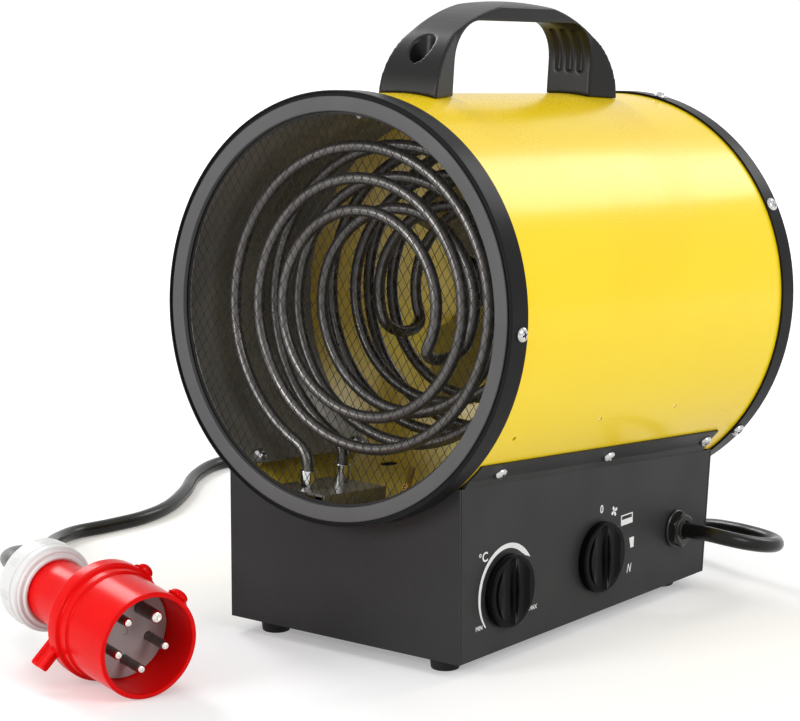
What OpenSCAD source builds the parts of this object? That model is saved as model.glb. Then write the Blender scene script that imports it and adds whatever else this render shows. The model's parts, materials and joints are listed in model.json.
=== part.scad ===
// Portable electric forced air heater: a round steel drum on a sheet metal base.
// Origin on the floor under the middle of the drum, outlet towards -Y, dials on the +X side, +Z up.
// The drum has its own frame, whose Y is the drum axis: it leans back, outlet up, by drum_tilt.

/* [Drum] */
// Outside diameter of the drum
drum_d = 228; // [200:1:260]
// Length of the drum over its two end rings
drum_l = 280; // [260:1:320]
// Sheet thickness of the drum
drum_wall = 0.8; // [0.6:0.1:1.2]
// Height of the underside of the drum above the floor
drum_rise = 63; // [58:1:96]
// Angle by which the outlet end is lifted, degrees
drum_tilt = 5.5; // [4:0.5:6]

/* [End rings] */
// Sheet thickness of the end rings
ring_wall = 1.2; // [1:0.1:1.6]
// Play between an end ring and the drum
ring_play = 0.3; // [0.2:0.05:0.5]
// Width of the end rings from the drum inwards
ring_face = 9.5; // [8:0.5:24]
// Width of the band round the outlet end
front_band = 15; // [12:0.5:20]
// Width of the band round the inlet end
rear_band = 12.5; // [12:0.5:20]
// Height of the face bead of a ring
ring_bead = 1.5; // [1:0.1:2]
// Width of the groove between the face bead and the band
ring_groove = 1.8; // [1:0.1:3]

/* [Grilles] */
// Width and thickness of the mesh strips
mesh_wire = 1; // [0.8:0.1:1.4]
// Width of a mesh diamond
mesh_w = 14; // [13:0.5:20]
// Height of a mesh diamond
mesh_h = 20; // [18:0.5:28]
// Wire diameter of the inlet guard
guard_wire = 2.5; // [2:0.1:3.5]
// Distance between the rings of the inlet guard
guard_step = 10; // [9:0.5:14]

/* [Heating elements] */
// Tube diameter of a heating element
tube_d = 6.5; // [5:0.1:7.5]
// Distance between the drum and the middle of the outer turns
coil_clear = 28; // [27:0.5:33]
// Distance between turns
coil_pitch = 17; // [15:0.5:17.5]
// Distance between the two layers of one element
layer_gap = 34; // [30:0.5:36]
// Distance from one element to the next
element_step = 84; // [82:0.5:88]
// Distance from the face of the outlet ring to the first layer
coil_depth = 22; // [20:0.5:28]
// Bend radius of the legs
leg_bend = 14; // [10:0.5:18]

/* [Fan] */
// Distance between the drum and the tips of the fan blades
fan_clear = 16; // [14:0.5:29]
// Number of blades
fan_blades = 5; // [4:1:7]
// Pitch of the blades, degrees
blade_angle = 28; // [20:1:35]
// Depth of the fan hub
hub_l = 24; // [20:1:28]
// Diameter of the fan hub
hub_d = 44; // [36:1:56]
// Diameter of the motor
motor_d = 82; // [70:1:90]
// Length of the motor
motor_l = 42; // [36:1:44]
// Diameter of the motor shaft
shaft_d = 8; // [6:0.5:10]

/* [Base] */
// Width of the base
base_w = 157; // [150:1:170]
// Length of the base along the floor
base_l = 238; // [230:1:244]
// Distance from the face of the outlet ring back to the front of the base
base_set = 7.7; // [5:0.1:12]
// Sheet thickness of the base
base_wall = 1.2; // [1:0.1:1.6]
// Drop of the bend of a panel below the place where the drum meets it
bend_in = 3.7; // [3:0.1:5]
// Height of the feet
foot_h = 8; // [6:0.5:12]
// Diameter of the feet
foot_d = 17; // [12:0.5:20]

/* [Handle] */
// Width of the grip
grip_w = 30; // [26:1:34]
// Width of the feet at their outer ends
handle_foot_w = 40; // [36:1:46]
// Length of the handle over its feet
handle_l = 174; // [166:1:184]
// Height of the handle above the top of the drum
handle_rise = 51; // [48:1:58]
// Length of each foot of the handle
handle_leg = 22; // [20:1:27]
// Clear height of the opening for the fingers
finger_h = 40.5; // [38:0.5:42]

/* [Dials] */
// Diameter of the dial skirts
dial_d = 40; // [34:0.5:44]
// Thickness of the dial skirts
dial_skirt = 4.4; // [3:0.1:5]
// Height of the dial grips above the panel
dial_h = 7; // [6.5:0.5:12]
// Height of the dials and the cable gland above the floor
dial_z = 40; // [38:0.5:46]
// Distance of the thermostat dial from the middle of the drum, towards the outlet
thermostat_y = 90; // [84:1:94]
// Distance of the mode dial from the middle of the drum, towards the outlet
mode_y = 3; // [-6:1:10]
// Diameter of the dial shafts
dial_shaft_d = 6; // [5:0.5:7]

/* [Cable and plug] */
// Distance of the cable gland from the rear edge of the base
gland_set = 30.7; // [26:0.1:36]
// Diameter of the supply cord
cord_d = 8.6; // [8:0.1:9]
// Outside diameter of the shroud of the plug
shroud_d = 58; // [56:0.5:62]
// Depth of the shroud
shroud_l = 46; // [44:0.5:50]
// Wall of the shroud
shroud_wall = 3; // [2.5:0.1:3.5]
// Diameter of the collar of the plug
collar_d = 65; // [62:0.5:70]
// Diameter of the gland nut of the plug
plug_nut_d = 46; // [42:0.5:48]
// Length of the plug from its mouth to the end of its gland nut
plug_l = 122; // [118:0.5:126]
// Diameter of the circle on which the pins stand
pin_circle_d = 30; // [28:0.5:32]
// Diameter of the phase and neutral pins
phase_pin_d = 5; // [4.5:0.1:5.5]
// Diameter of the earth pin
earth_pin_d = 7; // [6:0.1:7.5]

/* [Hidden] */
$fn = 72;
overrun = 1;
overlap = 0.2;
fit = 0.3;
close_fit = 0.1;
run_fit = 0.05;
tilt_cos = cos(drum_tilt);
tilt_tan = tan(drum_tilt);
function polar(r, turn) = [r * cos(turn), r * sin(turn)];

drum_r = drum_d / 2;
drum_in_r = drum_r - drum_wall;
axis_h = drum_r + drum_rise;
front_y = -drum_l / 2;
rear_y = drum_l / 2;
ring_in_r = drum_r + ring_play;
ring_r = ring_in_r + ring_wall;
ring_open_r = drum_r - ring_face;
shell_front = front_y + ring_bead + ring_wall + fit;
shell_rear = rear_y - ring_bead - ring_wall - fit;

// Cross head screws
screw_head_r = 4;
screw_head_h = 2.4;
screw_shank_r = 1.9;
screw_slot_w = 1;
screw_slot_d = 1.1;
screw_hold = 0.62;
front_screw_y = front_y + front_band * screw_hold;
rear_screw_y = rear_y - rear_band * screw_hold;
front_screw_turns = [0, 120, 240];
rear_screw_turns = [30, 120, 210, 300];
motor_arm_turns = [80, 200, 320];
ring_screw_l = 5;

// Small holes in the drum: places as shares of a right angle and of the length
vent_hole_r = 1.3;
vent_hole_shares = [[-0.34, -0.38], [-0.31, -0.11], [-0.3, 0.15]];
slot_y = -15;
slot_r = 2;
slot_l = 12;
slot_turns = [243, 297];

// Outlet mesh and inlet guard
mesh_lead = 0.3;
grille_y = shell_front + mesh_lead;
grille_rim_r = ring_open_r - 1.5;
guard_r = drum_in_r - fit;
guard_rim = 8;
guard_rim_h = 1;
guard_sink = 0.3;
guard_y = shell_rear - guard_wire / 2 - guard_sink;
guard_hub_r = 16;
guard_spokes = 8;

// Heat shield
liner_wall = 0.8;
liner_gap = 9;
liner_r = drum_in_r - liner_gap;
liner_l = 105;
liner_open = 60;
liner_turns = [-57, 90, 237];
liner_screw_in = 10;
liner_front = grille_y + mesh_wire + fit;
liner_screw_at = [liner_front + liner_screw_in, liner_front + liner_l - liner_screw_in];

// Base and its panels
base_front = front_y + base_set;
base_rear = base_front + base_l;
panel_x = base_w / 2;
panel_in_x = panel_x - base_wall;
base_z = foot_h;
floor_top = base_z + base_wall;
drum_clear = 0.25;
seam = 0.4;
bend_drop = sqrt(drum_r * drum_r - panel_x * panel_x) + bend_in;
bend_z = axis_h - bend_drop / tilt_cos;
rear_top_y = (base_rear + (bend_z - base_z) * tilt_tan) * tilt_cos * tilt_cos;
rear_wall_y = base_rear * tilt_cos + (axis_h - base_z) * sin(drum_tilt);
flange_in_r = drum_r + close_fit;
flange_r = flange_in_r + base_wall;
meet_turn = -acos(panel_x / drum_r);
flange_top_turn = meet_turn + 7;
flange_bend_turn = meet_turn - 2.5;
flange_lay_turn = meet_turn + 1;
flange_lead = 4.5;
flange_tail = 16.5;
flange_front = front_y + front_band + flange_lead;
flange_rear = rear_y - rear_band - flange_tail;
flange_screw_turn = meet_turn + 3.1;
flange_screw_shares = [-0.346, 0.018, 0.375];
flange_screw_at = [for (share = flange_screw_shares) share * drum_l];
lip_w = 12;
lip_set = 6;
lip_shares = [-0.36, 0, 0.36];
base_mid = (base_front + base_rear) / 2;
lip_screw_at = [for (share = lip_shares) base_mid + share * base_l];
foot_in_x = 20;
foot_in_y = 14.5;
foot_places = [for (x = [-1, 1], y = [base_front + foot_in_y, base_rear - foot_in_y])
    [x * (panel_x - foot_in_x), y]];
foot_taper = 0.9;
foot_recess_r = 5;
foot_recess_h = 3.6;
lip_screw_l = 6;

// Heating elements
plate_wall = 1.2;
plate_rise = 12.2;
plate_z = plate_rise - drum_r;
plate_foot = 8;
plate_tail = 20.3;
plate_lead = 10;
coil_turn = 200;
front_leg_turn = 245;
rear_leg_turn = 243;
coil_halves = 5;
coil_rest = 45;
tube_r = tube_d / 2;
coil_r = drum_r - coil_clear;
layer_y = [for (i = [0, 1]) front_y + coil_depth + i * element_step];
plate_screw_turn = 270;
plate_screw_at = [for (y = layer_y) y + layer_gap / 2];
hook_reach = 9;
hook_parts = 9;
coil_shift = polar(coil_pitch / 2, coil_turn - 180);
inner_turn = coil_turn - 180 * (coil_halves % 2) - coil_rest;
inner_r = coil_r - coil_halves * coil_pitch / 2;
leg_in = 0.5;
leg_parts = 5;
coil_step = 15;
element_sides = 8;
front_leg_x = (coil_r + leg_bend) * cos(front_leg_turn) + leg_bend;
rear_leg_x = (coil_r + leg_bend) * cos(rear_leg_turn) + leg_bend;
plate_side = 14.6;
plate_left = rear_leg_x - plate_side;
plate_right = front_leg_x + plate_tail;
leg_pair = [[front_leg_x, 0], [rear_leg_x, layer_gap]];
sleeve_r = 4.6;
sleeve_up = 10;
sleeve_down = 5;
element_nut_r = 6.2;
element_nut_h = 3;
earth_turn = 258;
earth_y = -34;
earth_r = 2;
earth_l = 15;
earth_tail = 5;
small_nut_r = 4;
small_nut_h = 3;

// Fan and motor
guard_room = 20;
bracket_wall = 2;
bracket_w = 20;
bracket_r = 34;
bracket_hole_r = 12;
motor_rear = rear_y - guard_room - bracket_wall;
motor_front = motor_rear - motor_l;
motor_r = motor_d / 2;
fan_d = drum_d - 2 * fan_clear;
motor_cap_l = 4;
motor_cap_in = 4;
hub_gap = 5;
hub_rear = motor_front - hub_gap;
hub_front = hub_rear - hub_l;
hub_wall = 3;
shaft_r = shaft_d / 2;
shaft_lead = 8;
shaft_in = 38;
blade_wall = 1.5;
blade_chord = 62;
blade_root_share = 0.36;
blade_flare_share = 0.235;
fan_nut_r = 8;
fan_nut_h = 6;
motor_screw_ring = 27;
motor_screw_l = 6;

// Handle
handle_sink = 4;
handle_corner = 44;
handle_fit = 0.15;
crown_r = 43;
arc_parts = 8;
groove_w = 3;
groove_deep = 1.6;
groove_from = 16;
finger_corner = 22;
handle_screw_in = 12;
handle_screw_y = handle_l / 2 - handle_screw_in;
finger_l = handle_l - 2 * handle_leg;
handle_seat = 4;
well_r = 6.5;
handle_bolt_r = 2.4;
handle_bolt_l = 12;
handle_bolt_head_r = 4.6;
handle_bolt_head_h = 3;
handle_nut_r = 4.6;
handle_nut_h = 4;
nut_seat = 0.2;

// Dials and what they turn
dial_shaft_r = dial_shaft_d / 2;
dial_gap = 0.6;
dial_recess = 2.2;
dial_recess_r = 17;
dial_chamfer = 1;
dial_bore_roof = 2;
grip_l = 36;
dial_grip_w = 31;
pointer_w = 5;
pointer_d = 1.2;
pointer_rib = 1.6;
bush_r = 5;
bush_out = 1.5;
shaft_inside = 14;
thermostat_w = 34;
thermostat_deep = 26;
switch_w = 42;
switch_deep = 38;
dial_screw_r = 1.5;
dial_screw_head_r = 2.6;
dial_screw_head_h = 1.5;
dial_screw_at = 13;
dial_screw_l = 6;
bulb_r = 3;
bulb_l = 56;
bulb_set = 26.5;
bulb_x = panel_x - bulb_set;
bulb_y = -34;
bulb_up = 6;
clip_w = 6;
clip_shares = [-0.4, 0.3];
capillary_r = 0.9;

// Overheat cutout and terminal block
cutout_turn = 270;
cutout_y = 20;
cutout_r = 8;
cutout_h = 8;
tab_w = 6.3;
tab_wall = 0.8;
tab_l = 7;
block_x = 8;
block_set = 45.7;
block_y = base_rear - block_set;
block_w = 26;
block_pitch = 10;
block_h = 18;
block_poles = 5;
block_screw_r = 2.2;
block_screw_l = 8;
pole_bore_r = 1.9;

// Cable gland
gland_collar_l = 2;
gland_collar_r = 10.8;
gland_nut_l = 5;
gland_nut_r = 10.4;
gland_thread_r = 8;
gland_inside = 12;
gland_thread_out = 2.5;
locknut_h = 4;
locknut_r = 12.5;
gland_nose = 1;
gland_nose_in = 1.6;
hex_turn = 30;
gland_y = base_rear - gland_set;
cord_exit_x = panel_x + gland_collar_l + gland_nut_l;
cord_r = cord_d / 2;
stub_l = 34;
lead_r = 1.2;
lead_ring = 2.6;
lead_rings = 8;
lead_turn = 72;
lead_bow_share = 0.45;
lead_in = 3;
cord_parts = 2;
cord_sides = 12;

// Plug
shroud_r = shroud_d / 2;
collar_r = collar_d / 2;
plug_turn = -16;
plug_tip_x = -27.5;
plug_tip_y = -256.5;
collar_at = 40;
collar_l = 8;
plug_dip = atan((collar_r - shroud_r) / collar_at);
plug_tip = [plug_tip_x, plug_tip_y, shroud_r * cos(plug_dip)];
plug_nut_l = 24;
plug_nut_r = plug_nut_d / 2;
plug_nut_end_r = 15;
plug_nut_taper_share = 0.3;
insert_l = 10;
pin_l = 30;
pin_chamfer = 0.8;
pin_turns = [126, 198, 270, 342];
earth_pin_turn = 54;
body_front_r = 27;
body_rear_r = 20;
key_turn = 43;
key_w = 9;
key_h = 3.5;
key_l = 15;
lug_turn = 208;
lug_l = 14;
lug_w = 9;
lug_wall = 4;

// A point on the axis of the plug, behind its mouth, in the floor frame
function plug_point(back) = plug_tip - back * [cos(plug_dip) * cos(plug_turn),
    cos(plug_dip) * sin(plug_turn), -sin(plug_dip)];

// Round numbers along the centre line of the supply cord, from the gland towards the plug
cord_route = [
    [85.5, 75, 40], [101, 75, 40], [111, 78, 38.5], [119, 85, 36], [124, 96, 33], [124.5, 108, 30.5],
    [120, 119, 28.5], [111, 128, 27.5], [97, 134, 27], [80, 138, 26.5], [61, 143, 24.5], [42, 150, 19.5],
    [25, 157, 12.5], [6, 166, 6.5], [-20, 178, 4.3], [-70, 202, 4.3], [-130, 222, 4.3], [-190, 230, 4.3],
    [-250, 222, 4.3], [-298, 200, 4.3], [-324, 170, 4.3], [-330, 144, 4.3], [-318, 110, 4.3],
    [-296, 75, 4.3], [-279, 40, 4.3], [-273, 10, 4.3], [-276, -18, 4.3], [-280, -44, 4.8], [-273, -67, 6.5],
    [-259, -88, 10], [-242, -109, 15], [-225, -131, 21], [-211, -155, 27.5], [-199, -179, 33.5],
    [-184, -200, 37.5]];
cord_straight = 16;
cord_path = concat(cord_route, [plug_point(plug_l + cord_straight), plug_point(plug_l)]);

// Turns the children from the drum frame into the floor frame
module in_drum() {
    translate([0, 0, axis_h]) rotate([-drum_tilt, 0, 0]) children();
}

// Turns a shape drawn along Z to lie along the drum axis from y
module axial(y) {
    translate([0, y, 0]) rotate([-90, 0, 0]) children();
}

// Turns the children round the drum axis, counted up from the +X side
module round_axis(turn) {
    rotate([0, -turn, 0]) children();
}

// Seats children drawn along Z on the drum at a radius, pointing outwards
module on_drum(turn, y, r) {
    round_axis(turn) translate([r, y, 0]) rotate([0, 90, 0]) children();
}

module tube(r_out, r_in, l) {
    difference() {
        cylinder(r = r_out, h = l);
        translate([0, 0, -overrun]) cylinder(r = r_in, h = l + 2 * overrun);
    }
}

// Cross head screw, seated at zero, head up
module screw(l, head_r = screw_head_r, head_h = screw_head_h, shank_r = screw_shank_r) {
    difference() {
        union() {
            cylinder(r = head_r, h = head_h * 0.4);
            translate([0, 0, head_h * 0.4]) cylinder(r1 = head_r, r2 = head_r * 0.7, h = head_h * 0.6);
            translate([0, 0, -l]) cylinder(r = shank_r, h = l + head_h * 0.2);
        }
        for (a = [0, 90]) rotate([0, 0, a])
            translate([-head_r * 0.55, -screw_slot_w / 2, head_h - screw_slot_d])
                cube([head_r * 1.1, screw_slot_w, screw_slot_d + overrun]);
    }
}

module hex_nut(r, h, bore_r) {
    difference() {
        cylinder(r = r, h = h, $fn = 6);
        translate([0, 0, -overrun]) cylinder(r = bore_r, h = h + 2 * overrun);
    }
}

// Sheet steel drum with its holes
module drum_shell() {
    color("gold") in_drum() difference() {
        axial(shell_front) tube(drum_r, drum_in_r, shell_rear - shell_front);
        for (a = front_screw_turns) on_drum(a, front_screw_y, drum_r) screw_hole();
        for (a = rear_screw_turns) on_drum(a, rear_screw_y, drum_r) screw_hole();
        for (a = motor_arm_turns) on_drum(a, rear_screw_y, drum_r) screw_hole();
        for (side = [-1, 1], y = flange_screw_at)
            on_drum(side < 0 ? 180 - flange_screw_turn : flange_screw_turn, y, drum_r) screw_hole();
        for (end = [-1, 1]) translate([0, end * handle_screw_y, drum_in_r - overrun])
            cylinder(r = handle_bolt_r + fit, h = drum_wall + 2 * overrun);
        for (a = liner_turns, y = liner_screw_at) on_drum(a, y, drum_r) screw_hole();
        for (share = vent_hole_shares) on_drum(share[0] * 90, share[1] * drum_l, drum_r)
            screw_hole(vent_hole_r);
        each_element() leg_window();
        on_drum(earth_turn, earth_y, drum_r) screw_hole(earth_r + fit);
        on_drum(cutout_turn, cutout_y, drum_r) screw_hole(screw_shank_r);
        for (turn = slot_turns) on_drum(turn, slot_y, drum_r) wire_slot();
        for (y = plate_screw_at) on_drum(plate_screw_turn, y, drum_r) screw_hole();
    }
}

module screw_hole(r = screw_shank_r + fit) {
    translate([0, 0, -drum_wall - overrun]) cylinder(r = r, h = drum_wall + 2 * overrun);
}

module wire_slot() {
    translate([0, 0, -drum_wall - overrun]) linear_extrude(drum_wall + 2 * overrun) {
        square([2 * slot_r, slot_l], center = true);
        for (end = [-1, 1]) translate([0, end * slot_l / 2]) circle(r = slot_r);
    }
}

// Window in the drum floor through which the legs of one element go down
module leg_window() {
    translate([rear_leg_x - 2 * sleeve_r, -2 * sleeve_r, -drum_r - overrun])
        cube([front_leg_x - rear_leg_x + 4 * sleeve_r, layer_gap + 4 * sleeve_r, drum_r + plate_z]);
}

// Heat shield inside the outlet half of the drum, open at the bottom
module inner_liner() {
    color("dimgray") in_drum() difference() {
        axial(liner_front) tube(liner_r, liner_r - liner_wall, liner_l);
        translate([-liner_r * sin(liner_open / 2), liner_front - overrun, -2 * liner_r])
            cube([2 * liner_r * sin(liner_open / 2), liner_l + 2 * overrun,
                liner_r * (2 - cos(liner_open / 2))]);
        for (a = liner_turns, y = liner_screw_at) on_drum(a, y, liner_r)
            translate([0, 0, -liner_wall - overrun])
                cylinder(r = screw_shank_r + fit, h = liner_wall + 2 * overrun);
    }
}

// Screws with spacer sleeves that hold the liner off the drum, and the screws of the terminal plates
module liner_screws() {
    color("silver") in_drum() {
        for (a = liner_turns, y = liner_screw_at) {
            on_drum(a, y, liner_r - liner_wall - close_fit) rotate([180, 0, 0])
                screw(close_fit + liner_wall + liner_gap + drum_wall);
            on_drum(a, y, liner_r + close_fit)
                tube(2 * screw_shank_r, screw_shank_r + close_fit, liner_gap - 2 * close_fit);
        }
        for (y = plate_screw_at) on_drum(plate_screw_turn, y, drum_r) screw(ring_screw_l);
    }
}

// One end ring, drawn with its face at zero and its band towards +Y
module end_ring(band) {
    rotate([-90, 0, 0]) rotate_extrude() {
        translate([ring_open_r, ring_bead]) square([ring_r - ring_open_r, ring_wall]);
        translate([ring_open_r, 0])
            square([ring_r - ring_groove - ring_wall - ring_open_r, ring_bead + overlap]);
        translate([ring_in_r, ring_bead]) square([ring_wall, band - ring_bead]);
        translate([ring_r - ring_wall, ring_bead * 0.4]) square([ring_wall, ring_bead]);
    }
}

module front_ring() {
    color("dimgray") in_drum() difference() {
        translate([0, front_y, 0]) end_ring(front_band);
        for (a = front_screw_turns) on_drum(a, front_screw_y, ring_r) ring_hole();
    }
}

module ring_hole() {
    translate([0, 0, -ring_wall - overrun]) cylinder(r = screw_shank_r + fit, h = ring_wall + 2 * overrun);
}

module rear_ring() {
    color("dimgray") in_drum() difference() {
        translate([0, rear_y, 0]) rotate([180, 0, 0]) end_ring(rear_band);
        for (a = concat(rear_screw_turns, motor_arm_turns)) on_drum(a, rear_screw_y, ring_r) ring_hole();
    }
}

module front_ring_screws() {
    color("silver") in_drum() for (a = front_screw_turns)
        on_drum(a, front_screw_y, ring_r) screw(ring_screw_l);
}

module rear_ring_screws() {
    color("silver") in_drum() for (a = rear_screw_turns) on_drum(a, rear_screw_y, ring_r) screw(ring_screw_l);
}

// Diamond mesh behind the outlet ring
module outlet_grille() {
    lean = atan(mesh_w / mesh_h);
    step = mesh_w * cos(lean);
    count = ceil(drum_in_r / step);
    color("dimgray") in_drum() translate([0, grille_y, 0]) rotate([90, 0, 0])
        translate([0, 0, -mesh_wire]) linear_extrude(mesh_wire) {
            difference() {
                circle(r = drum_in_r - fit);
                circle(r = grille_rim_r);
            }
            intersection() {
                circle(r = grille_rim_r + overlap);
                for (side = [-1, 1], i = [-count:count]) rotate(side * lean)
                    translate([i * step - mesh_wire / 2, -drum_r]) square([mesh_wire, drum_d]);
            }
        }
}

// Wire guard over the inlet: rings on the inner side of the spokes, in a flat rim
module inlet_guard() {
    wire_r = guard_wire / 2;
    color("dimgray") in_drum() {
        axial(guard_y) {
            for (r = [guard_hub_r + guard_step : guard_step : guard_r - guard_step / 2])
                translate([0, 0, overlap - guard_wire])
                    rotate_extrude() translate([r, 0]) circle(r = wire_r, $fn = 16);
            cylinder(r = guard_hub_r, h = wire_r, center = true);
            for (i = [0:guard_spokes - 1]) rotate([0, 0, i * 360 / guard_spokes])
                translate([guard_hub_r - overrun, 0, 0]) rotate([0, 90, 0])
                    cylinder(r = wire_r, h = guard_r - guard_rim / 2 - guard_hub_r + overrun);
        }
        axial(shell_rear - guard_rim_h) tube(guard_r, guard_r - guard_rim, guard_rim_h);
    }
}

// Points along an arc, both ends included
function arc_points(centre, r, from, to, parts) =
    [for (i = [0:parts]) centre + polar(r, from + (to - from) * i / parts)];

// Outline of the arch of the handle: a flat crown arc between two corner arcs
module arch(half, rise, deep) {
    middle = half - handle_corner;
    big = (middle * middle + rise * rise - handle_corner * handle_corner) / (2 * (rise - handle_corner));
    tip = atan2(middle, big - rise);
    polygon(concat([[half, -deep]],
        arc_points([middle, 0], handle_corner, 0, 90 - tip, arc_parts),
        arc_points([0, rise - big], big, 90 - tip, 90 + tip, 2 * arc_parts),
        arc_points([-middle, 0], handle_corner, 90 + tip, 180, arc_parts),
        [[-half, -deep]]));
}

// Opening for the fingers, with two round upper corners
module finger_opening(grow = 0) {
    top = handle_sink + finger_h + grow;
    half = finger_l / 2 + grow;
    corner = finger_corner + grow;
    polygon(concat([[half, -2 * handle_sink]],
        arc_points([half - corner, top - corner], corner, 0, 90, arc_parts),
        arc_points([corner - half, top - corner], corner, 90, 180, arc_parts),
        [[-half, -2 * handle_sink]]));
}

// Moulded carrying handle with a crowned grip, finger grooves and screw wells
module handle() {
    half = handle_l / 2;
    base = drum_r - handle_sink;
    rise = handle_rise + handle_sink;
    color([0.16, 0.16, 0.17]) in_drum() difference() {
        intersection() {
            translate([-handle_foot_w / 2, 0, base]) rotate([90, 0, 90])
                linear_extrude(handle_foot_w) arch(half, rise, handle_sink);
            translate([0, 0, base - handle_sink]) linear_extrude(2 * handle_rise) polygon([
                [-handle_foot_w / 2, -half - overrun], [handle_foot_w / 2, -half - overrun],
                [grip_w / 2, -finger_l / 2], [grip_w / 2, finger_l / 2],
                [handle_foot_w / 2, half + overrun], [-handle_foot_w / 2, half + overrun],
                [-grip_w / 2, finger_l / 2], [-grip_w / 2, -finger_l / 2]]);
            translate([0, -half - overrun, base + rise - crown_r]) rotate([-90, 0, 0]) {
                cylinder(r = crown_r, h = handle_l + 2 * overrun);
                translate([-handle_foot_w, 0, 0])
                    cube([2 * handle_foot_w, 2 * crown_r, handle_l + 2 * overrun]);
            }
        }
        axial(front_y) cylinder(r = drum_r + handle_fit, h = drum_l);
        translate([-handle_foot_w, 0, base]) rotate([90, 0, 90])
            linear_extrude(2 * handle_foot_w) finger_opening();
        for (i = [-1:1]) translate([i * grip_w / 4 - groove_w / 2, 0, base]) rotate([90, 0, 90])
            linear_extrude(groove_w) intersection() {
                finger_opening(groove_deep);
                translate([-half, groove_from]) square([handle_l, 2 * handle_rise]);
            }
        for (end = [-1, 1]) translate([0, end * handle_screw_y, 0]) {
            translate([0, 0, drum_r + handle_seat]) cylinder(r = well_r, h = 2 * handle_rise);
            cylinder(r = handle_bolt_r + fit, h = drum_r + 2 * handle_seat);
        }
    }
}

module handle_screws() {
    color("silver") in_drum() for (end = [-1, 1]) translate([0, end * handle_screw_y, drum_r + handle_seat])
        screw(handle_bolt_l, handle_bolt_head_r, handle_bolt_head_h, handle_bolt_r);
}

module handle_nuts() {
    color("silver") in_drum() for (end = [-1, 1])
        translate([0, end * handle_screw_y, drum_in_r - nut_seat - handle_nut_h])
            hex_nut(handle_nut_r, handle_nut_h, handle_bolt_r);
}

// Plate profile of one flange, from the bend of its panel on to the drum
module flange_profile() {
    difference() {
        union() {
            intersection() {
                circle(r = flange_r);
                polygon([[0, 0], polar(2 * flange_r, flange_bend_turn),
                    polar(2 * flange_r, flange_top_turn)]);
            }
            polygon([[panel_in_x, -bend_drop], [panel_x, -bend_drop], polar(flange_r, flange_lay_turn),
                polar(drum_in_r, flange_lay_turn)]);
        }
        circle(r = flange_in_r);
    }
}

// Side of the base: a plate, a flange bent on to the drum and a lip on the floor
module side_plate() {
    difference() {
        union() {
            translate([panel_in_x, 0, 0]) rotate([90, 0, 90]) linear_extrude(base_wall) polygon([
                [base_front + base_wall + seam, base_z],
                [base_rear - seam - base_wall, base_z],
                [rear_top_y - seam - base_wall, bend_z - rear_top_y * tilt_tan],
                [base_front + base_wall + seam, bend_z - base_front * tilt_tan]]);
            in_drum() translate([0, flange_rear, 0]) rotate([90, 0, 0])
                linear_extrude(flange_rear - flange_front) flange_profile();
            translate([panel_in_x - lip_w, base_front + 2 * base_wall + seam, floor_top + close_fit])
                cube([lip_w + overlap, base_l - 4 * base_wall - 2 * seam, base_wall]);
        }
        for (y = flange_screw_at) in_drum() on_drum(flange_screw_turn, y, flange_r)
            translate([0, 0, -2 * base_wall]) cylinder(r = screw_shank_r + fit, h = 3 * base_wall);
        for (y = lip_screw_at) translate([panel_in_x - lip_set, y, base_z])
            cylinder(r = screw_shank_r + fit, h = 3 * base_wall);
    }
}

// Puts children drawn along +Z on the outside of the control panel
module on_panel(y) {
    translate([panel_x, y, dial_z]) rotate([90, 0, 90]) children();
}

module control_panel() {
    color([0.28, 0.28, 0.29]) difference() {
        side_plate();
        for (y = [-thermostat_y, -mode_y]) on_panel(y) {
            translate([0, 0, -2 * base_wall]) cylinder(r = bush_r + close_fit, h = 3 * base_wall);
            for (side = [-1, 1]) translate([side * dial_screw_at, 0, -2 * base_wall])
                cylinder(r = dial_screw_r + close_fit, h = 3 * base_wall);
        }
        on_panel(gland_y) translate([0, 0, -2 * base_wall])
            cylinder(r = gland_thread_r + close_fit, h = 3 * base_wall);
    }
}

module side_panel() {
    color([0.28, 0.28, 0.29]) mirror([1, 0, 0]) side_plate();
}

// Floor, front wall and leaning rear wall of the base
module base_tray() {
    color([0.28, 0.28, 0.29]) difference() {
        union() {
            translate([-panel_x, base_front, base_z]) cube([base_w, base_wall, axis_h]);
            translate([-panel_in_x + close_fit, base_front, base_z])
                cube([2 * (panel_in_x - close_fit), base_l, base_wall]);
            intersection() {
                in_drum() translate([-panel_x, rear_wall_y - base_wall, -axis_h])
                    cube([base_w, base_wall, axis_h]);
                translate([-panel_x, 0, base_z]) cube([base_w, drum_l, axis_h]);
            }
        }
        in_drum() {
            translate([0, front_y, 0]) axial(0) cylinder(r = drum_r + drum_clear, h = drum_l);
            translate([0, front_y, 0]) axial(-overrun)
                cylinder(r = ring_r + drum_clear, h = front_band + drum_clear + overrun);
            translate([-drum_d, front_y, -bend_drop]) cube([2 * drum_d, drum_l, axis_h]);
        }
        for (side = [-1, 1], y = lip_screw_at) translate([side * (panel_in_x - lip_set), y, base_z - overrun])
            cylinder(r = screw_shank_r + close_fit, h = base_wall + 2 * overrun);
        for (place = foot_places) translate([place.x, place.y, base_z - overrun])
            cylinder(r = screw_shank_r + close_fit, h = base_wall + 2 * overrun);
    }
}

module flange_screws() {
    color("silver") in_drum() for (side = [0, 1], y = flange_screw_at) mirror([side, 0, 0])
        on_drum(flange_screw_turn, y, flange_r) screw(ring_screw_l);
}

module panel_screws() {
    color("silver") for (side = [-1, 1], y = lip_screw_at) translate([side * (panel_in_x - lip_set), y, base_z])
        rotate([180, 0, 0]) screw(lip_screw_l);
}

module rubber_feet() {
    foot_r = foot_d / 2;
    color([0.08, 0.08, 0.08]) for (place = foot_places) translate(place) difference() {
        cylinder(r1 = foot_r * foot_taper, r2 = foot_r, h = foot_h);
        translate([0, 0, -overrun]) cylinder(r = foot_recess_r, h = foot_recess_h + overrun);
        cylinder(r = screw_shank_r + close_fit, h = foot_h + overrun);
    }
}

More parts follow.
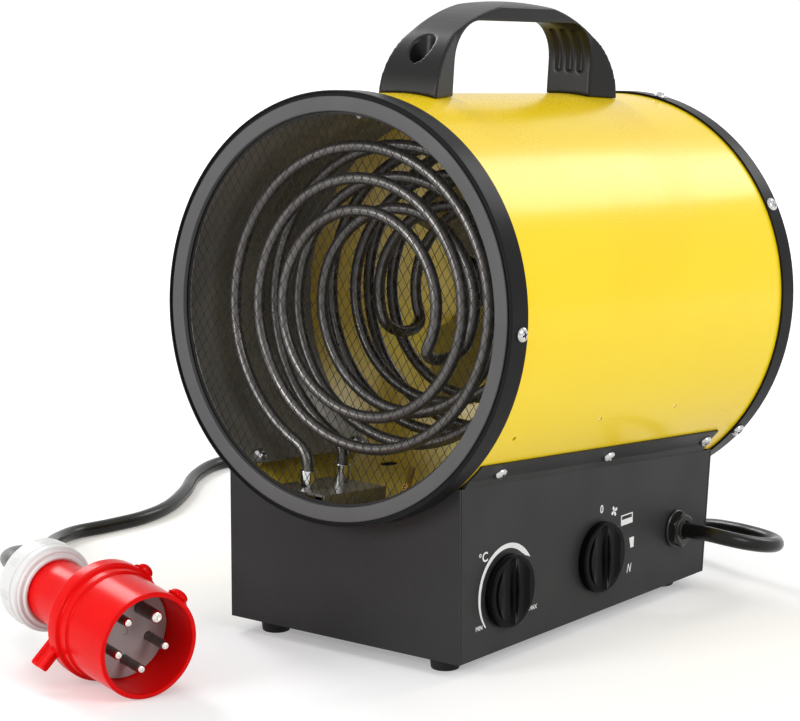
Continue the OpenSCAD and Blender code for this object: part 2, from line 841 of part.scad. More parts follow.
module foot_screws() {
    color("silver") for (place = foot_places) translate([place.x, place.y, foot_recess_h])
        rotate([180, 0, 0]) screw(foot_h - foot_recess_h + lip_screw_l);
}

// Centre line of one layer of turns, from the foot of its leg to its inner end, in the plane of the turns:
// the leg, its bend, then half turns about two centres
function layer_points(leg_turn) =
    let (bend = polar(coil_r + leg_bend, leg_turn), leg_x = bend.x + leg_bend,
        foot_z = leg_in - sqrt(drum_r * drum_r - leg_x * leg_x))
    concat([[leg_x, foot_z]],
        arc_points(bend, leg_bend, 0, leg_turn - 180, leg_parts),
        [for (k = [0:coil_halves])
            let (from = coil_turn - 180 * (k % 2) + (k == 0 ? leg_turn - coil_turn : 0),
                to = coil_turn - 180 * (k % 2) - (k < coil_halves ? 180 : coil_rest),
                parts = round((from - to) / coil_step))
            for (i = [1:parts]) (k % 2 == 0 ? [0, 0] : coil_shift)
                + polar(coil_r - k * coil_pitch / 2, from + (to - from) * i / parts)]);

// Both layers with the hairpin that joins their inner ends. The second element is the mirror image of the first.
function element_points(i) =
    let (front = layer_points(front_leg_turn), rear = layer_points(rear_leg_turn), side = i > 0 ? -1 : 1,
        inner = coil_shift + polar(inner_r, inner_turn), ahead = [sin(inner_turn), -cos(inner_turn)])
    concat([for (p = front) [side * p.x, layer_y[i], p.y]],
        [for (a = [180 / hook_parts : 180 / hook_parts : 179]) let (p = inner + hook_reach * sin(a) * ahead)
            [side * p.x, layer_y[i] + layer_gap / 2 * (1 - cos(a)), p.y]],
        [for (k = [len(rear) - 1:-1:0]) [side * rear[k].x, layer_y[i] + layer_gap, rear[k].y]]);

// Puts children at the front layer of each element, mirrored for the second
module each_element() {
    for (i = [0, 1]) mirror([i, 0, 0]) translate([0, layer_y[i], 0]) children();
}

// Least distance between points of a path that are more than some points apart
function least_gap(path, apart) = min([for (i = [0:len(path) - 1], j = [i + apart:1:len(path) - 1])
    norm(path[i] - path[j])]);

module heating_element(i) {
    path = element_points(i);
    echo(least_gap = least_gap(path, round(180 / coil_step)) - tube_d);
    color("silver") in_drum() swept(path, tube_r, element_sides, [0, 1, 0]);
}

module heating_element_1() {
    heating_element(0);
}

module heating_element_2() {
    heating_element(1);
}

// Threaded sleeves on the legs, through the terminal plates
module element_sleeves() {
    color("gold") in_drum() each_element() for (leg = leg_pair)
        translate([leg.x, leg.y, plate_z - plate_wall - sleeve_down])
        tube(sleeve_r, tube_r + close_fit, sleeve_up + plate_wall + sleeve_down);
}

module element_nuts() {
    color("silver") in_drum() each_element() for (leg = leg_pair)
        translate([leg.x, leg.y, plate_z - plate_wall - element_nut_h])
            hex_nut(element_nut_r, element_nut_h, sleeve_r + close_fit);
}

// Plate over each window in the drum floor, with a flange and a foot on the drum
module terminal_plate() {
    plate_l = layer_gap + 2 * plate_lead;
    foot_in_r = drum_in_r - fit - plate_wall;
    color("lightgray") in_drum() each_element() translate([0, -plate_lead, 0]) difference() {
        intersection() {
            axial(0) cylinder(r = drum_in_r - fit, h = plate_l);
            union() {
                translate([plate_left, 0, plate_z - plate_wall])
                    cube([plate_right - plate_left, plate_l, plate_wall]);
                translate([plate_right - plate_wall, 0, -drum_r]) cube([plate_wall, plate_l, drum_r + plate_z]);
                difference() {
                    translate([plate_right - plate_wall, 0, -drum_r])
                        cube([2 * plate_foot, plate_l, drum_r + plate_z - plate_wall]);
                    axial(-overrun) cylinder(r = foot_in_r, h = plate_l + 2 * overrun);
                }
            }
        }
        for (leg = leg_pair) translate([leg.x, leg.y + plate_lead, -drum_r])
            cylinder(r = sleeve_r + close_fit, h = drum_r);
        translate([0, layer_gap / 2 + plate_lead, -drum_r])
            cylinder(r = screw_shank_r + close_fit, h = drum_r + plate_z);
    }
}

// Earthing stud through the drum, with a nut on each side
module earth_stud() {
    color("gold") in_drum() on_drum(earth_turn, earth_y, drum_r) {
        translate([0, 0, -earth_l]) cylinder(r = earth_r, h = earth_l + earth_tail);
        cylinder(r = small_nut_r, h = small_nut_h, $fn = 6);
        translate([0, 0, -drum_wall - nut_seat - small_nut_h])
            cylinder(r = small_nut_r, h = small_nut_h, $fn = 6);
    }
}

// Five bladed axial fan on a deep hub that is open at the back
module fan_rotor() {
    hub_r = hub_d / 2;
    boss_r = shaft_r + hub_wall;
    root = blade_chord * blade_root_share;
    color([0.35, 0.36, 0.37]) in_drum() axial(hub_front) difference() {
        union() {
            difference() {
                cylinder(r = hub_r, h = hub_l);
                translate([0, 0, hub_wall]) cylinder(r = hub_r - hub_wall, h = hub_l);
            }
            cylinder(r = boss_r, h = hub_l);
            intersection() {
                cylinder(r = fan_d / 2, h = 2 * hub_l + blade_chord, center = true);
                for (i = [0:fan_blades - 1]) rotate([0, 0, i * 360 / fan_blades])
                    translate([0, 0, hub_l / 2]) rotate([blade_angle, 0, 0])
                        linear_extrude(blade_wall, center = true) polygon([
                            [hub_r - hub_wall / 2, -root / 2], [fan_d, -fan_d * blade_flare_share - root / 2],
                            [fan_d, fan_d * blade_flare_share + root / 2], [hub_r - hub_wall / 2, root / 2]]);
            }
        }
        translate([0, 0, -overrun]) cylinder(r = shaft_r + close_fit, h = hub_l + 2 * overrun);
    }
}

module fan_nut() {
    color("silver") in_drum() axial(hub_front - fan_nut_h) hex_nut(fan_nut_r, fan_nut_h, shaft_r + close_fit);
}

module motor_shaft() {
    color("silver") in_drum() axial(hub_front - shaft_lead)
        cylinder(r = shaft_r, h = motor_front + shaft_in - hub_front + shaft_lead);
}

module fan_motor() {
    color([0.2, 0.2, 0.21]) in_drum() axial(motor_front) difference() {
        union() {
            cylinder(r = motor_r - motor_cap_in, h = motor_l);
            translate([0, 0, motor_cap_l]) cylinder(r = motor_r, h = motor_l - 2 * motor_cap_l);
        }
        translate([0, 0, -overrun]) cylinder(r = shaft_r + run_fit, h = shaft_in + 2 * overrun);
        for (a = motor_arm_turns) rotate([0, 0, -a]) translate([motor_screw_ring, 0, motor_l - motor_screw_l])
            cylinder(r = screw_shank_r + close_fit, h = motor_screw_l + overrun);
    }
}

// Plate behind the motor, with three arms whose ends are bent along the drum
module motor_bracket() {
    tab_r = drum_in_r - fit;
    color("lightgray") in_drum() difference() {
        union() {
            axial(motor_rear) cylinder(r = bracket_r, h = bracket_wall);
            intersection() {
                axial(motor_rear) cylinder(r = tab_r, h = bracket_wall);
                for (a = motor_arm_turns) round_axis(a) translate([0, motor_rear, -bracket_w / 2])
                    cube([drum_r, bracket_wall, bracket_w]);
            }
            intersection() {
                axial(motor_rear)
                    tube(tab_r, tab_r - bracket_wall, shell_rear - guard_rim_h - fit - motor_rear);
                for (a = motor_arm_turns) round_axis(a) translate([0, motor_rear - overrun, -bracket_w / 2])
                    cube([drum_r, drum_l, bracket_w]);
            }
        }
        axial(motor_rear - overrun) cylinder(r = bracket_hole_r, h = bracket_wall + 2 * overrun);
        for (a = motor_arm_turns) {
            on_drum(a, rear_screw_y, tab_r - 2 * bracket_wall)
                cylinder(r = screw_shank_r + close_fit, h = 3 * bracket_wall);
            round_axis(a) translate([motor_screw_ring, 0, 0]) axial(motor_rear - overrun)
                cylinder(r = screw_shank_r + close_fit, h = bracket_wall + 2 * overrun);
        }
    }
}

// Screws of the bracket: three through the ring and the drum, three into the motor
module motor_screws() {
    color("silver") in_drum() for (a = motor_arm_turns) {
        on_drum(a, rear_screw_y, ring_r) screw(ring_screw_l);
        round_axis(a) translate([motor_screw_ring, 0, 0]) axial(motor_rear + bracket_wall)
            screw(bracket_wall + motor_screw_l - fit);
    }
}

// Housing behind the panel with its bush, drawn with the outside of the panel at zero
module dial_body(w, deep) {
    difference() {
        union() {
            translate([-w / 2, -w / 2, -base_wall - close_fit - deep]) cube([w, w, deep]);
            translate([0, 0, -base_wall - close_fit - overlap])
                cylinder(r = bush_r, h = base_wall + close_fit + overlap + bush_out);
        }
        translate([0, 0, -base_wall - shaft_inside]) cylinder(r = dial_shaft_r + run_fit, h = 2 * shaft_inside);
        for (side = [-1, 1]) translate([side * dial_screw_at, 0, -dial_screw_l])
            cylinder(r = dial_screw_r + close_fit, h = dial_screw_l);
    }
}

module dial_shaft() {
    translate([0, 0, fit - base_wall - shaft_inside])
        cylinder(r = dial_shaft_r, h = base_wall + shaft_inside + dial_h - dial_bore_roof - 2 * fit);
}

// Round skirt with a lens shaped grip and a groove that points the way, hollow over the screws
module dial_knob() {
    dial_r = dial_d / 2;
    lens_r = (grip_l * grip_l + dial_grip_w * dial_grip_w) / (4 * dial_grip_w);
    difference() {
        union() {
            translate([0, 0, dial_gap]) cylinder(r = dial_r, h = dial_skirt - dial_chamfer);
            translate([0, 0, dial_gap + dial_skirt - dial_chamfer])
                cylinder(r1 = dial_r, r2 = dial_r - dial_chamfer, h = dial_chamfer);
            intersection_for(side = [-1, 1]) translate([side * (lens_r - dial_grip_w / 2), 0, dial_gap])
                cylinder(r = lens_r, h = dial_h - dial_gap);
        }
        translate([0, 0, dial_gap - overrun]) cylinder(r = dial_recess_r, h = dial_recess + overrun);
        cylinder(r = dial_shaft_r + close_fit, h = dial_h - dial_bore_roof);
        for (side = [-1, 1]) translate([side * (pointer_w + pointer_rib) / 4 - (pointer_w - pointer_rib) / 4,
            -grip_l, dial_h - pointer_d])
            cube([(pointer_w - pointer_rib) / 2, 2 * grip_l, pointer_d + overrun]);
    }
}

module thermostat_body() {
    color([0.85, 0.83, 0.78]) on_panel(-thermostat_y) dial_body(thermostat_w, thermostat_deep);
}

module thermostat_shaft() {
    color("silver") on_panel(-thermostat_y) dial_shaft();
}

module thermostat_knob() {
    color([0.13, 0.13, 0.14]) on_panel(-thermostat_y) dial_knob();
}

module mode_switch() {
    color([0.85, 0.83, 0.78]) on_panel(-mode_y) dial_body(switch_w, switch_deep);
}

module mode_shaft() {
    color("silver") on_panel(-mode_y) dial_shaft();
}

module mode_knob() {
    color([0.13, 0.13, 0.14]) on_panel(-mode_y) dial_knob();
}

module dial_screws() {
    color("silver") for (y = [-thermostat_y, -mode_y], side = [-1, 1]) on_panel(y)
        translate([side * dial_screw_at, 0, 0])
            screw(dial_screw_l - fit, dial_screw_head_r, dial_screw_head_h, dial_screw_r);
}

// Sensor of the thermostat in its clips on the floor of the base, with its capillary
module sensor_bulb() {
    bulb_end = [bulb_x, bulb_y - bulb_l / 2, floor_top + bulb_up];
    body_end = [bulb_x, thermostat_w / 2 - thermostat_y + close_fit, dial_z - bulb_up];
    reach = [0, (bulb_end.y - body_end.y) / 2, 0];
    color("goldenrod") {
        translate(bulb_end) rotate([-90, 0, 0]) cylinder(r = bulb_r, h = bulb_l);
        for (share = clip_shares) translate([bulb_x - clip_w / 2, bulb_y + share * bulb_l, floor_top])
            cube([clip_w, clip_w, bulb_up]);
        swept([for (s = [0 : 1 / lead_rings : 1]) bezier(body_end, body_end + reach, bulb_end - reach,
            bulb_end + [0, overlap, 0], s)], capillary_r, element_sides);
    }
}

// Safety cutout against the underside of the drum, with its two tabs
module overheat_cutout() {
    color([0.2, 0.18, 0.16]) in_drum() on_drum(cutout_turn, cutout_y, drum_r + close_fit) {
        cylinder(r = cutout_r, h = cutout_h);
        translate([0, 0, -drum_wall - close_fit - overrun])
            cylinder(r = screw_shank_r - close_fit, h = drum_wall + 2 * overrun);
        for (side = [-1, 1]) translate([-tab_w / 2, side * cutout_r / 2 - tab_wall / 2, cutout_h - overlap])
            cube([tab_w, tab_wall, tab_l]);
    }
}

// Place of one pole of the terminal block on the floor of the base
function pole(i) = [block_x, block_y + (i - (block_poles - 1) / 2) * block_pitch, floor_top];

module terminal_block() {
    color([0.9, 0.89, 0.85]) difference() {
        translate([block_x - block_w / 2, pole(0).y - block_pitch / 2, floor_top])
            cube([block_w, block_poles * block_pitch, block_h]);
        for (i = [0:block_poles - 1], side = [-1, 1]) translate(pole(i)) {
            translate([side * block_w / 4, 0, block_h - block_screw_l])
                cylinder(r = block_screw_r + close_fit, h = block_screw_l + overrun);
            translate([-block_w, 0, block_h / 2 - pole_bore_r]) rotate([0, 90, 0])
                cylinder(r = pole_bore_r, h = 2 * block_w);
        }
    }
}

module block_screws() {
    color("silver") for (i = [0:block_poles - 1], side = [-1, 1]) translate(pole(i))
        translate([side * block_w / 4, 0, block_h - block_screw_l + fit]) difference() {
            cylinder(r = block_screw_r, h = block_screw_l - block_screw_r);
            translate([-block_screw_r, -screw_slot_w / 2, block_screw_l - block_screw_r - screw_slot_d])
                cube([2 * block_screw_r, screw_slot_w, screw_slot_d + overrun]);
        }
}

// End of the cord inside the base: its sheath through the gland, then one lead to each pole
module internal_leads() {
    stub_x = cord_exit_x - stub_l;
    color([0.1, 0.1, 0.1]) {
        translate([stub_x, gland_y, dial_z]) rotate([0, 90, 0]) cylinder(r = cord_r, h = stub_l);
        for (i = [0:block_poles - 1]) {
            start = [stub_x, gland_y, dial_z] + lead_ring * [0, cos(i * lead_turn), sin(i * lead_turn)];
            finish = pole(i) + [block_w / 2 - lead_in, 0, block_h / 2 - pole_bore_r];
            reach = start.x - finish.x;
            swept([for (s = [0 : 1 / lead_rings : 1]) bezier(start + [overlap, 0, 0],
                start - [reach * lead_bow_share, 0, 0], finish + [reach * lead_bow_share, 0, 0], finish, s)],
                lead_r, element_sides);
        }
    }
}

// Strain relief gland: a collar, a thread through the panel and a bore for the cord
module cable_gland() {
    color([0.12, 0.12, 0.12]) on_panel(gland_y) difference() {
        union() {
            cylinder(r = gland_collar_r, h = gland_collar_l);
            translate([0, 0, -gland_inside]) cylinder(r = gland_thread_r, h = gland_inside + gland_collar_l
                + gland_thread_out);
        }
        translate([0, 0, -gland_inside - overrun])
            cylinder(r = cord_r + close_fit, h = 2 * (gland_inside + gland_nut_l));
    }
}

module gland_nut() {
    color([0.12, 0.12, 0.12]) on_panel(gland_y) translate([0, 0, gland_collar_l]) difference() {
        union() {
            rotate([0, 0, hex_turn]) cylinder(r = gland_nut_r, h = gland_nut_l - gland_nose, $fn = 6);
            cylinder(r = gland_nut_r - gland_nose_in, h = gland_nut_l);
        }
        translate([0, 0, -overrun])
            cylinder(r = gland_thread_r + close_fit, h = gland_thread_out + fit + overrun);
        cylinder(r = cord_r + close_fit, h = gland_nut_l + overrun);
    }
}

module gland_locknut() {
    color([0.12, 0.12, 0.12]) on_panel(gland_y) translate([0, 0, -base_wall - locknut_h])
        hex_nut(locknut_r, locknut_h, gland_thread_r + close_fit);
}

function unit(v) = v / norm(v);

function bezier(a, b, c, d, s) = pow(1 - s, 3) * a + 3 * s * pow(1 - s, 2) * b + 3 * s * s * (1 - s) * c
    + pow(s, 3) * d;

function along(path, i) = unit(path[min(i + 1, len(path) - 1)] - path[max(i - 1, 0)]);

// Directions square to a path, one at each point, that turn no more than the path does
function sides_along(path, side, i = 0) = i == len(path) ? []
    : let (next = unit(side - (side * along(path, i)) * along(path, i)))
        concat([next], sides_along(path, next, i + 1));

// Round tube along a path; guide is any direction across its start
module swept(path, r, sides, guide = [0, 0, 1]) {
    last = (len(path) - 1) * sides;
    across = sides_along(path, cross(along(path, 0), guide));
    polyhedron([for (i = [0:len(path) - 1]) let (rise = cross(across[i], along(path, i)))
            for (k = [0:sides - 1]) let (a = k * 360 / sides)
                path[i] + r * (cos(a) * across[i] + sin(a) * rise)],
        concat([[for (k = [sides - 1:-1:0]) k]],
            [[for (k = [0:sides - 1]) last + k]],
            [for (i = [0:len(path) - 2], k = [0:sides - 1], half = [0, 1])
                let (from = i * sides, next = (k + 1) % sides)
                half > 0 ? [from + k, from + sides + next, from + sides + k]
                    : [from + k, from + next, from + sides + next]]));
}

// Point of a smooth curve through b and c, whose neighbours are a and d
function smooth(a, b, c, d, s) = b + s * ((c - a) + s * ((2 * a - 5 * b + 4 * c - d)
    + s * (3 * b - a - 3 * c + d))) / 2;

function on_floor(point) = [point.x, point.y, max(point.z, cord_r)];

function smooth_path(route, parts) = let (last = len(route) - 1) [
    for (i = [0:last - 1], j = [0:parts - 1]) on_floor(smooth(route[max(i - 1, 0)], route[i], route[i + 1],
        route[min(i + 2, last)], j / parts)),
    route[last]];

module supply_cord() {
    color([0.07, 0.07, 0.07]) swept(smooth_path(cord_path, cord_parts), cord_r, cord_sides);
}

// Puts children on the plug: mouth at zero, the inside of the plug towards -Z, +Y up
module in_plug() {
    translate(plug_tip) rotate([0, plug_dip, plug_turn]) rotate([90, 0, 90]) children();
}

// Shroud with its collar and the key that fits the socket
module plug_shroud() {
    collar_end = collar_at + collar_l;
    bore_r = shroud_r - shroud_wall;
    root_r = shroud_r - shroud_wall / 2;
    color([0.8, 0.1, 0.08]) in_plug() {
        rotate_extrude() polygon([[bore_r, 0], [shroud_r, 0], [shroud_r, -collar_at],
            [collar_r, -collar_at], [collar_r, -collar_end], [bore_r, -collar_end]]);
        rotate([0, 0, key_turn]) {
            translate([root_r, -key_w / 2, -collar_at - overlap])
                cube([shroud_r + key_h - root_r, key_w, collar_at - key_l + overlap]);
            translate([shroud_r, -key_w, -collar_end + close_fit])
                cube([collar_r + key_h - shroud_r, 2 * key_w, collar_l - 2 * close_fit]);
        }
        rotate([0, 0, lug_turn]) translate([root_r, -lug_w / 2, -collar_at - overlap])
            cube([collar_r + lug_wall - root_r, lug_w, lug_l + overlap]);
    }
}

// Grey carrier of the pins at the bottom of the shroud
module plug_insert() {
    color([0.55, 0.56, 0.58]) in_plug() difference() {
        translate([0, 0, -shroud_l]) cylinder(r = shroud_r - shroud_wall - close_fit, h = insert_l);
        for (turn = pin_turns) rotate([0, 0, turn]) translate([pin_circle_d / 2, 0, -shroud_l - overrun])
            cylinder(r = phase_pin_d / 2 + close_fit, h = insert_l + 2 * overrun);
        rotate([0, 0, earth_pin_turn]) translate([pin_circle_d / 2, 0, -shroud_l - overrun])
            cylinder(r = earth_pin_d / 2 + close_fit, h = insert_l + 2 * overrun);
    }
}

// One contact pin with a chamfered end, at its place on the pin circle
module plug_pin(turn, d) {
    rotate([0, 0, turn]) translate([pin_circle_d / 2, 0, -shroud_l]) {
        cylinder(d = d, h = insert_l + pin_l - pin_chamfer);
        translate([0, 0, insert_l + pin_l - pin_chamfer])
            cylinder(d1 = d, d2 = d - 2 * pin_chamfer, h = pin_chamfer);
    }
}

module phase_pins() {
    color("gold") in_plug() for (turn = pin_turns) plug_pin(turn, phase_pin_d);
}

module earth_pin() {
    color("gold") in_plug() plug_pin(earth_pin_turn, earth_pin_d);
}

module plug_body() {
    body_l = plug_l - plug_nut_l - collar_at - collar_l;
    color([0.8, 0.1, 0.08]) in_plug() translate([0, 0, -collar_at - collar_l]) {
        rotate([180, 0, 0]) cylinder(r1 = body_front_r, r2 = body_rear_r, h = body_l);
        cylinder(r = shroud_r - shroud_wall - fit, h = collar_at + collar_l - shroud_l);
    }
}

module plug_gland_nut() {
    color([0.7, 0.71, 0.72]) in_plug() translate([0, 0, -plug_l]) {
        cylinder(r1 = plug_nut_end_r, r2 = plug_nut_r, h = plug_nut_l * plug_nut_taper_share);
        translate([0, 0, plug_nut_l * plug_nut_taper_share])
            cylinder(r = plug_nut_r, h = plug_nut_l * (1 - plug_nut_taper_share));
    }
}

drum_shell();
inner_liner();
liner_screws();
front_ring();
front_ring_screws();
outlet_grille();
rear_ring();
rear_ring_screws();
inlet_guard();
handle();
handle_screws();
handle_nuts();
base_tray();
control_panel();
side_panel();
flange_screws();
panel_screws();
rubber_feet();
foot_screws();
heating_element_1();
heating_element_2();
element_sleeves();
element_nuts();
terminal_plate();
earth_stud();
fan_rotor();
fan_nut();
motor_shaft();
fan_motor();
motor_bracket();
motor_screws();
thermostat_body();
thermostat_shaft();
thermostat_knob();
sensor_bulb();
mode_switch();
mode_shaft();
mode_knob();
dial_screws();
overheat_cutout();
terminal_block();
block_screws();
internal_leads();
cable_gland();
gland_nut();
gland_locknut();
supply_cord();
plug_gland_nut();
plug_body();
plug_shroud();
plug_insert();
phase_pins();
earth_pin();
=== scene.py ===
import bpy
import json
from math import atan, atan2, cos, pi, radians, sin, sqrt
from mathutils import Matrix, Vector


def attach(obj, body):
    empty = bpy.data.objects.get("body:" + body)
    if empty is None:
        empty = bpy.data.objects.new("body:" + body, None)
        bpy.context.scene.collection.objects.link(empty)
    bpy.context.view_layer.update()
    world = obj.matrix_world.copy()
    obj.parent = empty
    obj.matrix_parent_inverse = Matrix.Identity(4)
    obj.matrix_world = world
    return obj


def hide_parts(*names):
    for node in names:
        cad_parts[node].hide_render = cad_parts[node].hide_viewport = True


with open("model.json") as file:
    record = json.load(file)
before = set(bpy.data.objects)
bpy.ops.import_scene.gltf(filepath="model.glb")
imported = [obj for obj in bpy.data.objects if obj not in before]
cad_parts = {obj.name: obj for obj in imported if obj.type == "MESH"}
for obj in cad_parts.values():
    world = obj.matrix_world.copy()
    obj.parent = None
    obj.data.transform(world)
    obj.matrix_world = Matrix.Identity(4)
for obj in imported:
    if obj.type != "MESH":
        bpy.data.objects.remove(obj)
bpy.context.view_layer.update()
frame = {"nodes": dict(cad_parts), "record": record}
nodes = frame["nodes"]

# pieces are modelled in millimetres about their own frame, then set in place in metres
mm = 0.001
inMm = Matrix.Scale(mm, 4)


def turned(angle, axis):
    return Matrix.Rotation(radians(angle), 4, axis)


def moved(x, y, z):
    return Matrix.Translation((x, y, z))


# where the drum, the panel and the plug's mouth stand
stance = {"axisHeight": 177, "lean": 5.5, "panelX": 78.5, "dialHeight": 40,
          "plugMouth": (-27.5, -256.5, 28.89), "plugTurn": 16, "plugDip": 5}

floorFrame = Matrix.Identity(4)
drumFrame = moved(0, 0, stance["axisHeight"] * mm) @ turned(-stance["lean"], "X")  # Y is the drum axis
plugFrame = (moved(*(x * mm for x in stance["plugMouth"])) @ turned(-stance["plugTurn"], "Z")
             @ turned(stance["plugDip"], "Y") @ turned(90, "Z") @ turned(90, "X"))
alongDrum = turned(-90, "X")  # Z of a turned piece along the drum axis


def panelFrame(y):  # X to the right, Y up, Z out of the panel
    return moved(stance["panelX"] * mm, y * mm, stance["dialHeight"] * mm) @ turned(90, "Z") @ turned(90, "X")


def onDrum(turn, y, radius):  # Z outwards, in the drum's frame
    return moved(0, y, 0) @ turned(90 - turn, "Y") @ moved(0, 0, radius)


def polar(radius, angle):
    return radius * cos(radians(angle)), radius * sin(radians(angle))


def arcPoints(centre, radius, start, end, parts):
    arc = [polar(radius, start + (end - start) * i / parts) for i in range(parts + 1)]
    return [(centre[0] + x, centre[1] + y) for x, y in arc]


def bezierPoints(first, firstHandle, lastHandle, last, parts):
    shares = [i / parts for i in range(parts + 1)]
    return [(1 - s) ** 3 * first + 3 * s * (1 - s) ** 2 * firstHandle + 3 * s * s * (1 - s) * lastHandle
            + s ** 3 * last for s in shares]


# camera

viewpoint = {"place": (1.0391, -1.4296, 0.5046), "right": (0.79206, 0.61045, 0),
             "up": (-0.12323, 0.15989, 0.97941), "lens": 144, "filmWidth": 36}

bpy.ops.object.camera_add()
camera = bpy.context.object
camera.name = "camera"
right = Vector(viewpoint["right"]).normalized()
up = Vector(viewpoint["up"]).normalized()
axes = Matrix((right, up, right.cross(up))).transposed().to_4x4()
camera.matrix_world = Matrix.Translation(viewpoint["place"]) @ axes
camera.data.lens = viewpoint["lens"]
camera.data.sensor_width = viewpoint["filmWidth"]
camera.data.clip_end = 50
bpy.context.scene.camera = camera
print("camera set")


# materials

class Value:  # a shader socket that works in sums
    def __init__(self, finish, socket):
        self.finish = finish
        self.socket = socket

    def maths(self, operation, *terms):
        return self.finish.node("Math", {"operation": operation}, dict(enumerate(terms)))

    def __add__(self, other):
        return self.maths("ADD", self, other)

    def __sub__(self, other):
        return self.maths("SUBTRACT", self, other)

    def __rsub__(self, other):
        return self.maths("SUBTRACT", other, self)

    def __mul__(self, other):
        return self.maths("MULTIPLY", self, other)

    __radd__ = __add__
    __rmul__ = __mul__


class Finish:  # a material or world and its nodes
    def __init__(self, owner, output="OutputMaterial"):
        self.owner = owner
        owner.use_nodes = True
        self.tree = owner.node_tree
        self.tree.nodes.clear()
        self.output = self.tree.nodes.new("ShaderNode" + output)

    def node(self, kind, settings=None, inputs=None, output=0):
        made = self.tree.nodes.new("ShaderNode" + kind)
        for key, value in (settings or {}).items():
            setattr(made, key, value)
        for key, value in (inputs or {}).items():
            if isinstance(value, Value):
                self.tree.links.new(value.socket, made.inputs[key])
            elif made.inputs[key].type == "RGBA":
                made.inputs[key].default_value = (*value, 1)
            else:
                made.inputs[key].default_value = value
        return Value(self, made.outputs[output])

    def surface(self, shader):
        self.tree.links.new(shader.socket, self.output.inputs["Surface"])
        return self.owner

    def place(self, stretch=(1, 1, 1)):  # Object coordinates
        point = self.node("TexCoord", output="Object")
        return self.node("Mapping", inputs={"Vector": point, "Scale": stretch})

    def noise(self, scale, detail, stretch=(1, 1, 1)):
        return self.node("TexNoise", inputs={"Vector": self.place(stretch), "Scale": scale, "Detail": detail})

    def mix(self, share, first, second):
        return self.node("Mix", {"data_type": "RGBA"}, {0: share, 6: first, 7: second}, 2)

    def ramp(self, value, low, high):  # 0 below low, 1 above high
        return self.node("MapRange", {"interpolation_type": "SMOOTHSTEP"},
                         {"Value": value, "From Min": low, "From Max": high})

    def seenRays(self):  # 1 where the camera sees it, also mirrored or through
        camera, glossy, through = (self.node("LightPath", output=f"Is {kind} Ray")
                                   for kind in ("Camera", "Glossy", "Transmission"))
        return camera + glossy + through


def fromScreen(red, green, blue):  # a colour as it is seen, made linear
    parts = (channel / 255 for channel in (red, green, blue))
    return tuple(part / 12.92 if part < 0.04045 else ((part + 0.055) / 1.055) ** 2.4 for part in parts)


def surfaceFinish(name, look):
    look = {**usualLook, **look}
    made = Finish(bpy.data.materials.new(name))
    cloud = made.ramp(made.noise(look["cloudScale"], 4), 0.3, 0.7)
    grain = made.noise(look["grainScale"], 2, look["stretch"])
    wear = made.ramp(made.noise(look["cloudScale"] * 7, 5), 0.62, 0.8)
    colour = made.mix(cloud, look["colour"], look["shade"])
    colour = made.mix(wear * look["wear"], colour, look.get("wearColour", look["shade"]))
    uneven = look["uneven"]
    rough = look["roughness"] + uneven * (cloud - 0.5) + uneven * (grain - 0.5)
    bump = made.node("Bump", inputs={"Height": grain, "Strength": look["grain"],
                                     "Distance": look["grainHeight"]})
    shader = made.node("BsdfPrincipled", inputs={
        "Base Color": colour, "Roughness": rough, "Metallic": look["metal"], "Coat Weight": look["coat"],
        "Coat Roughness": look["coatRoughness"], "Specular IOR Level": look["shine"], "Normal": bump})
    return made.surface(shader)


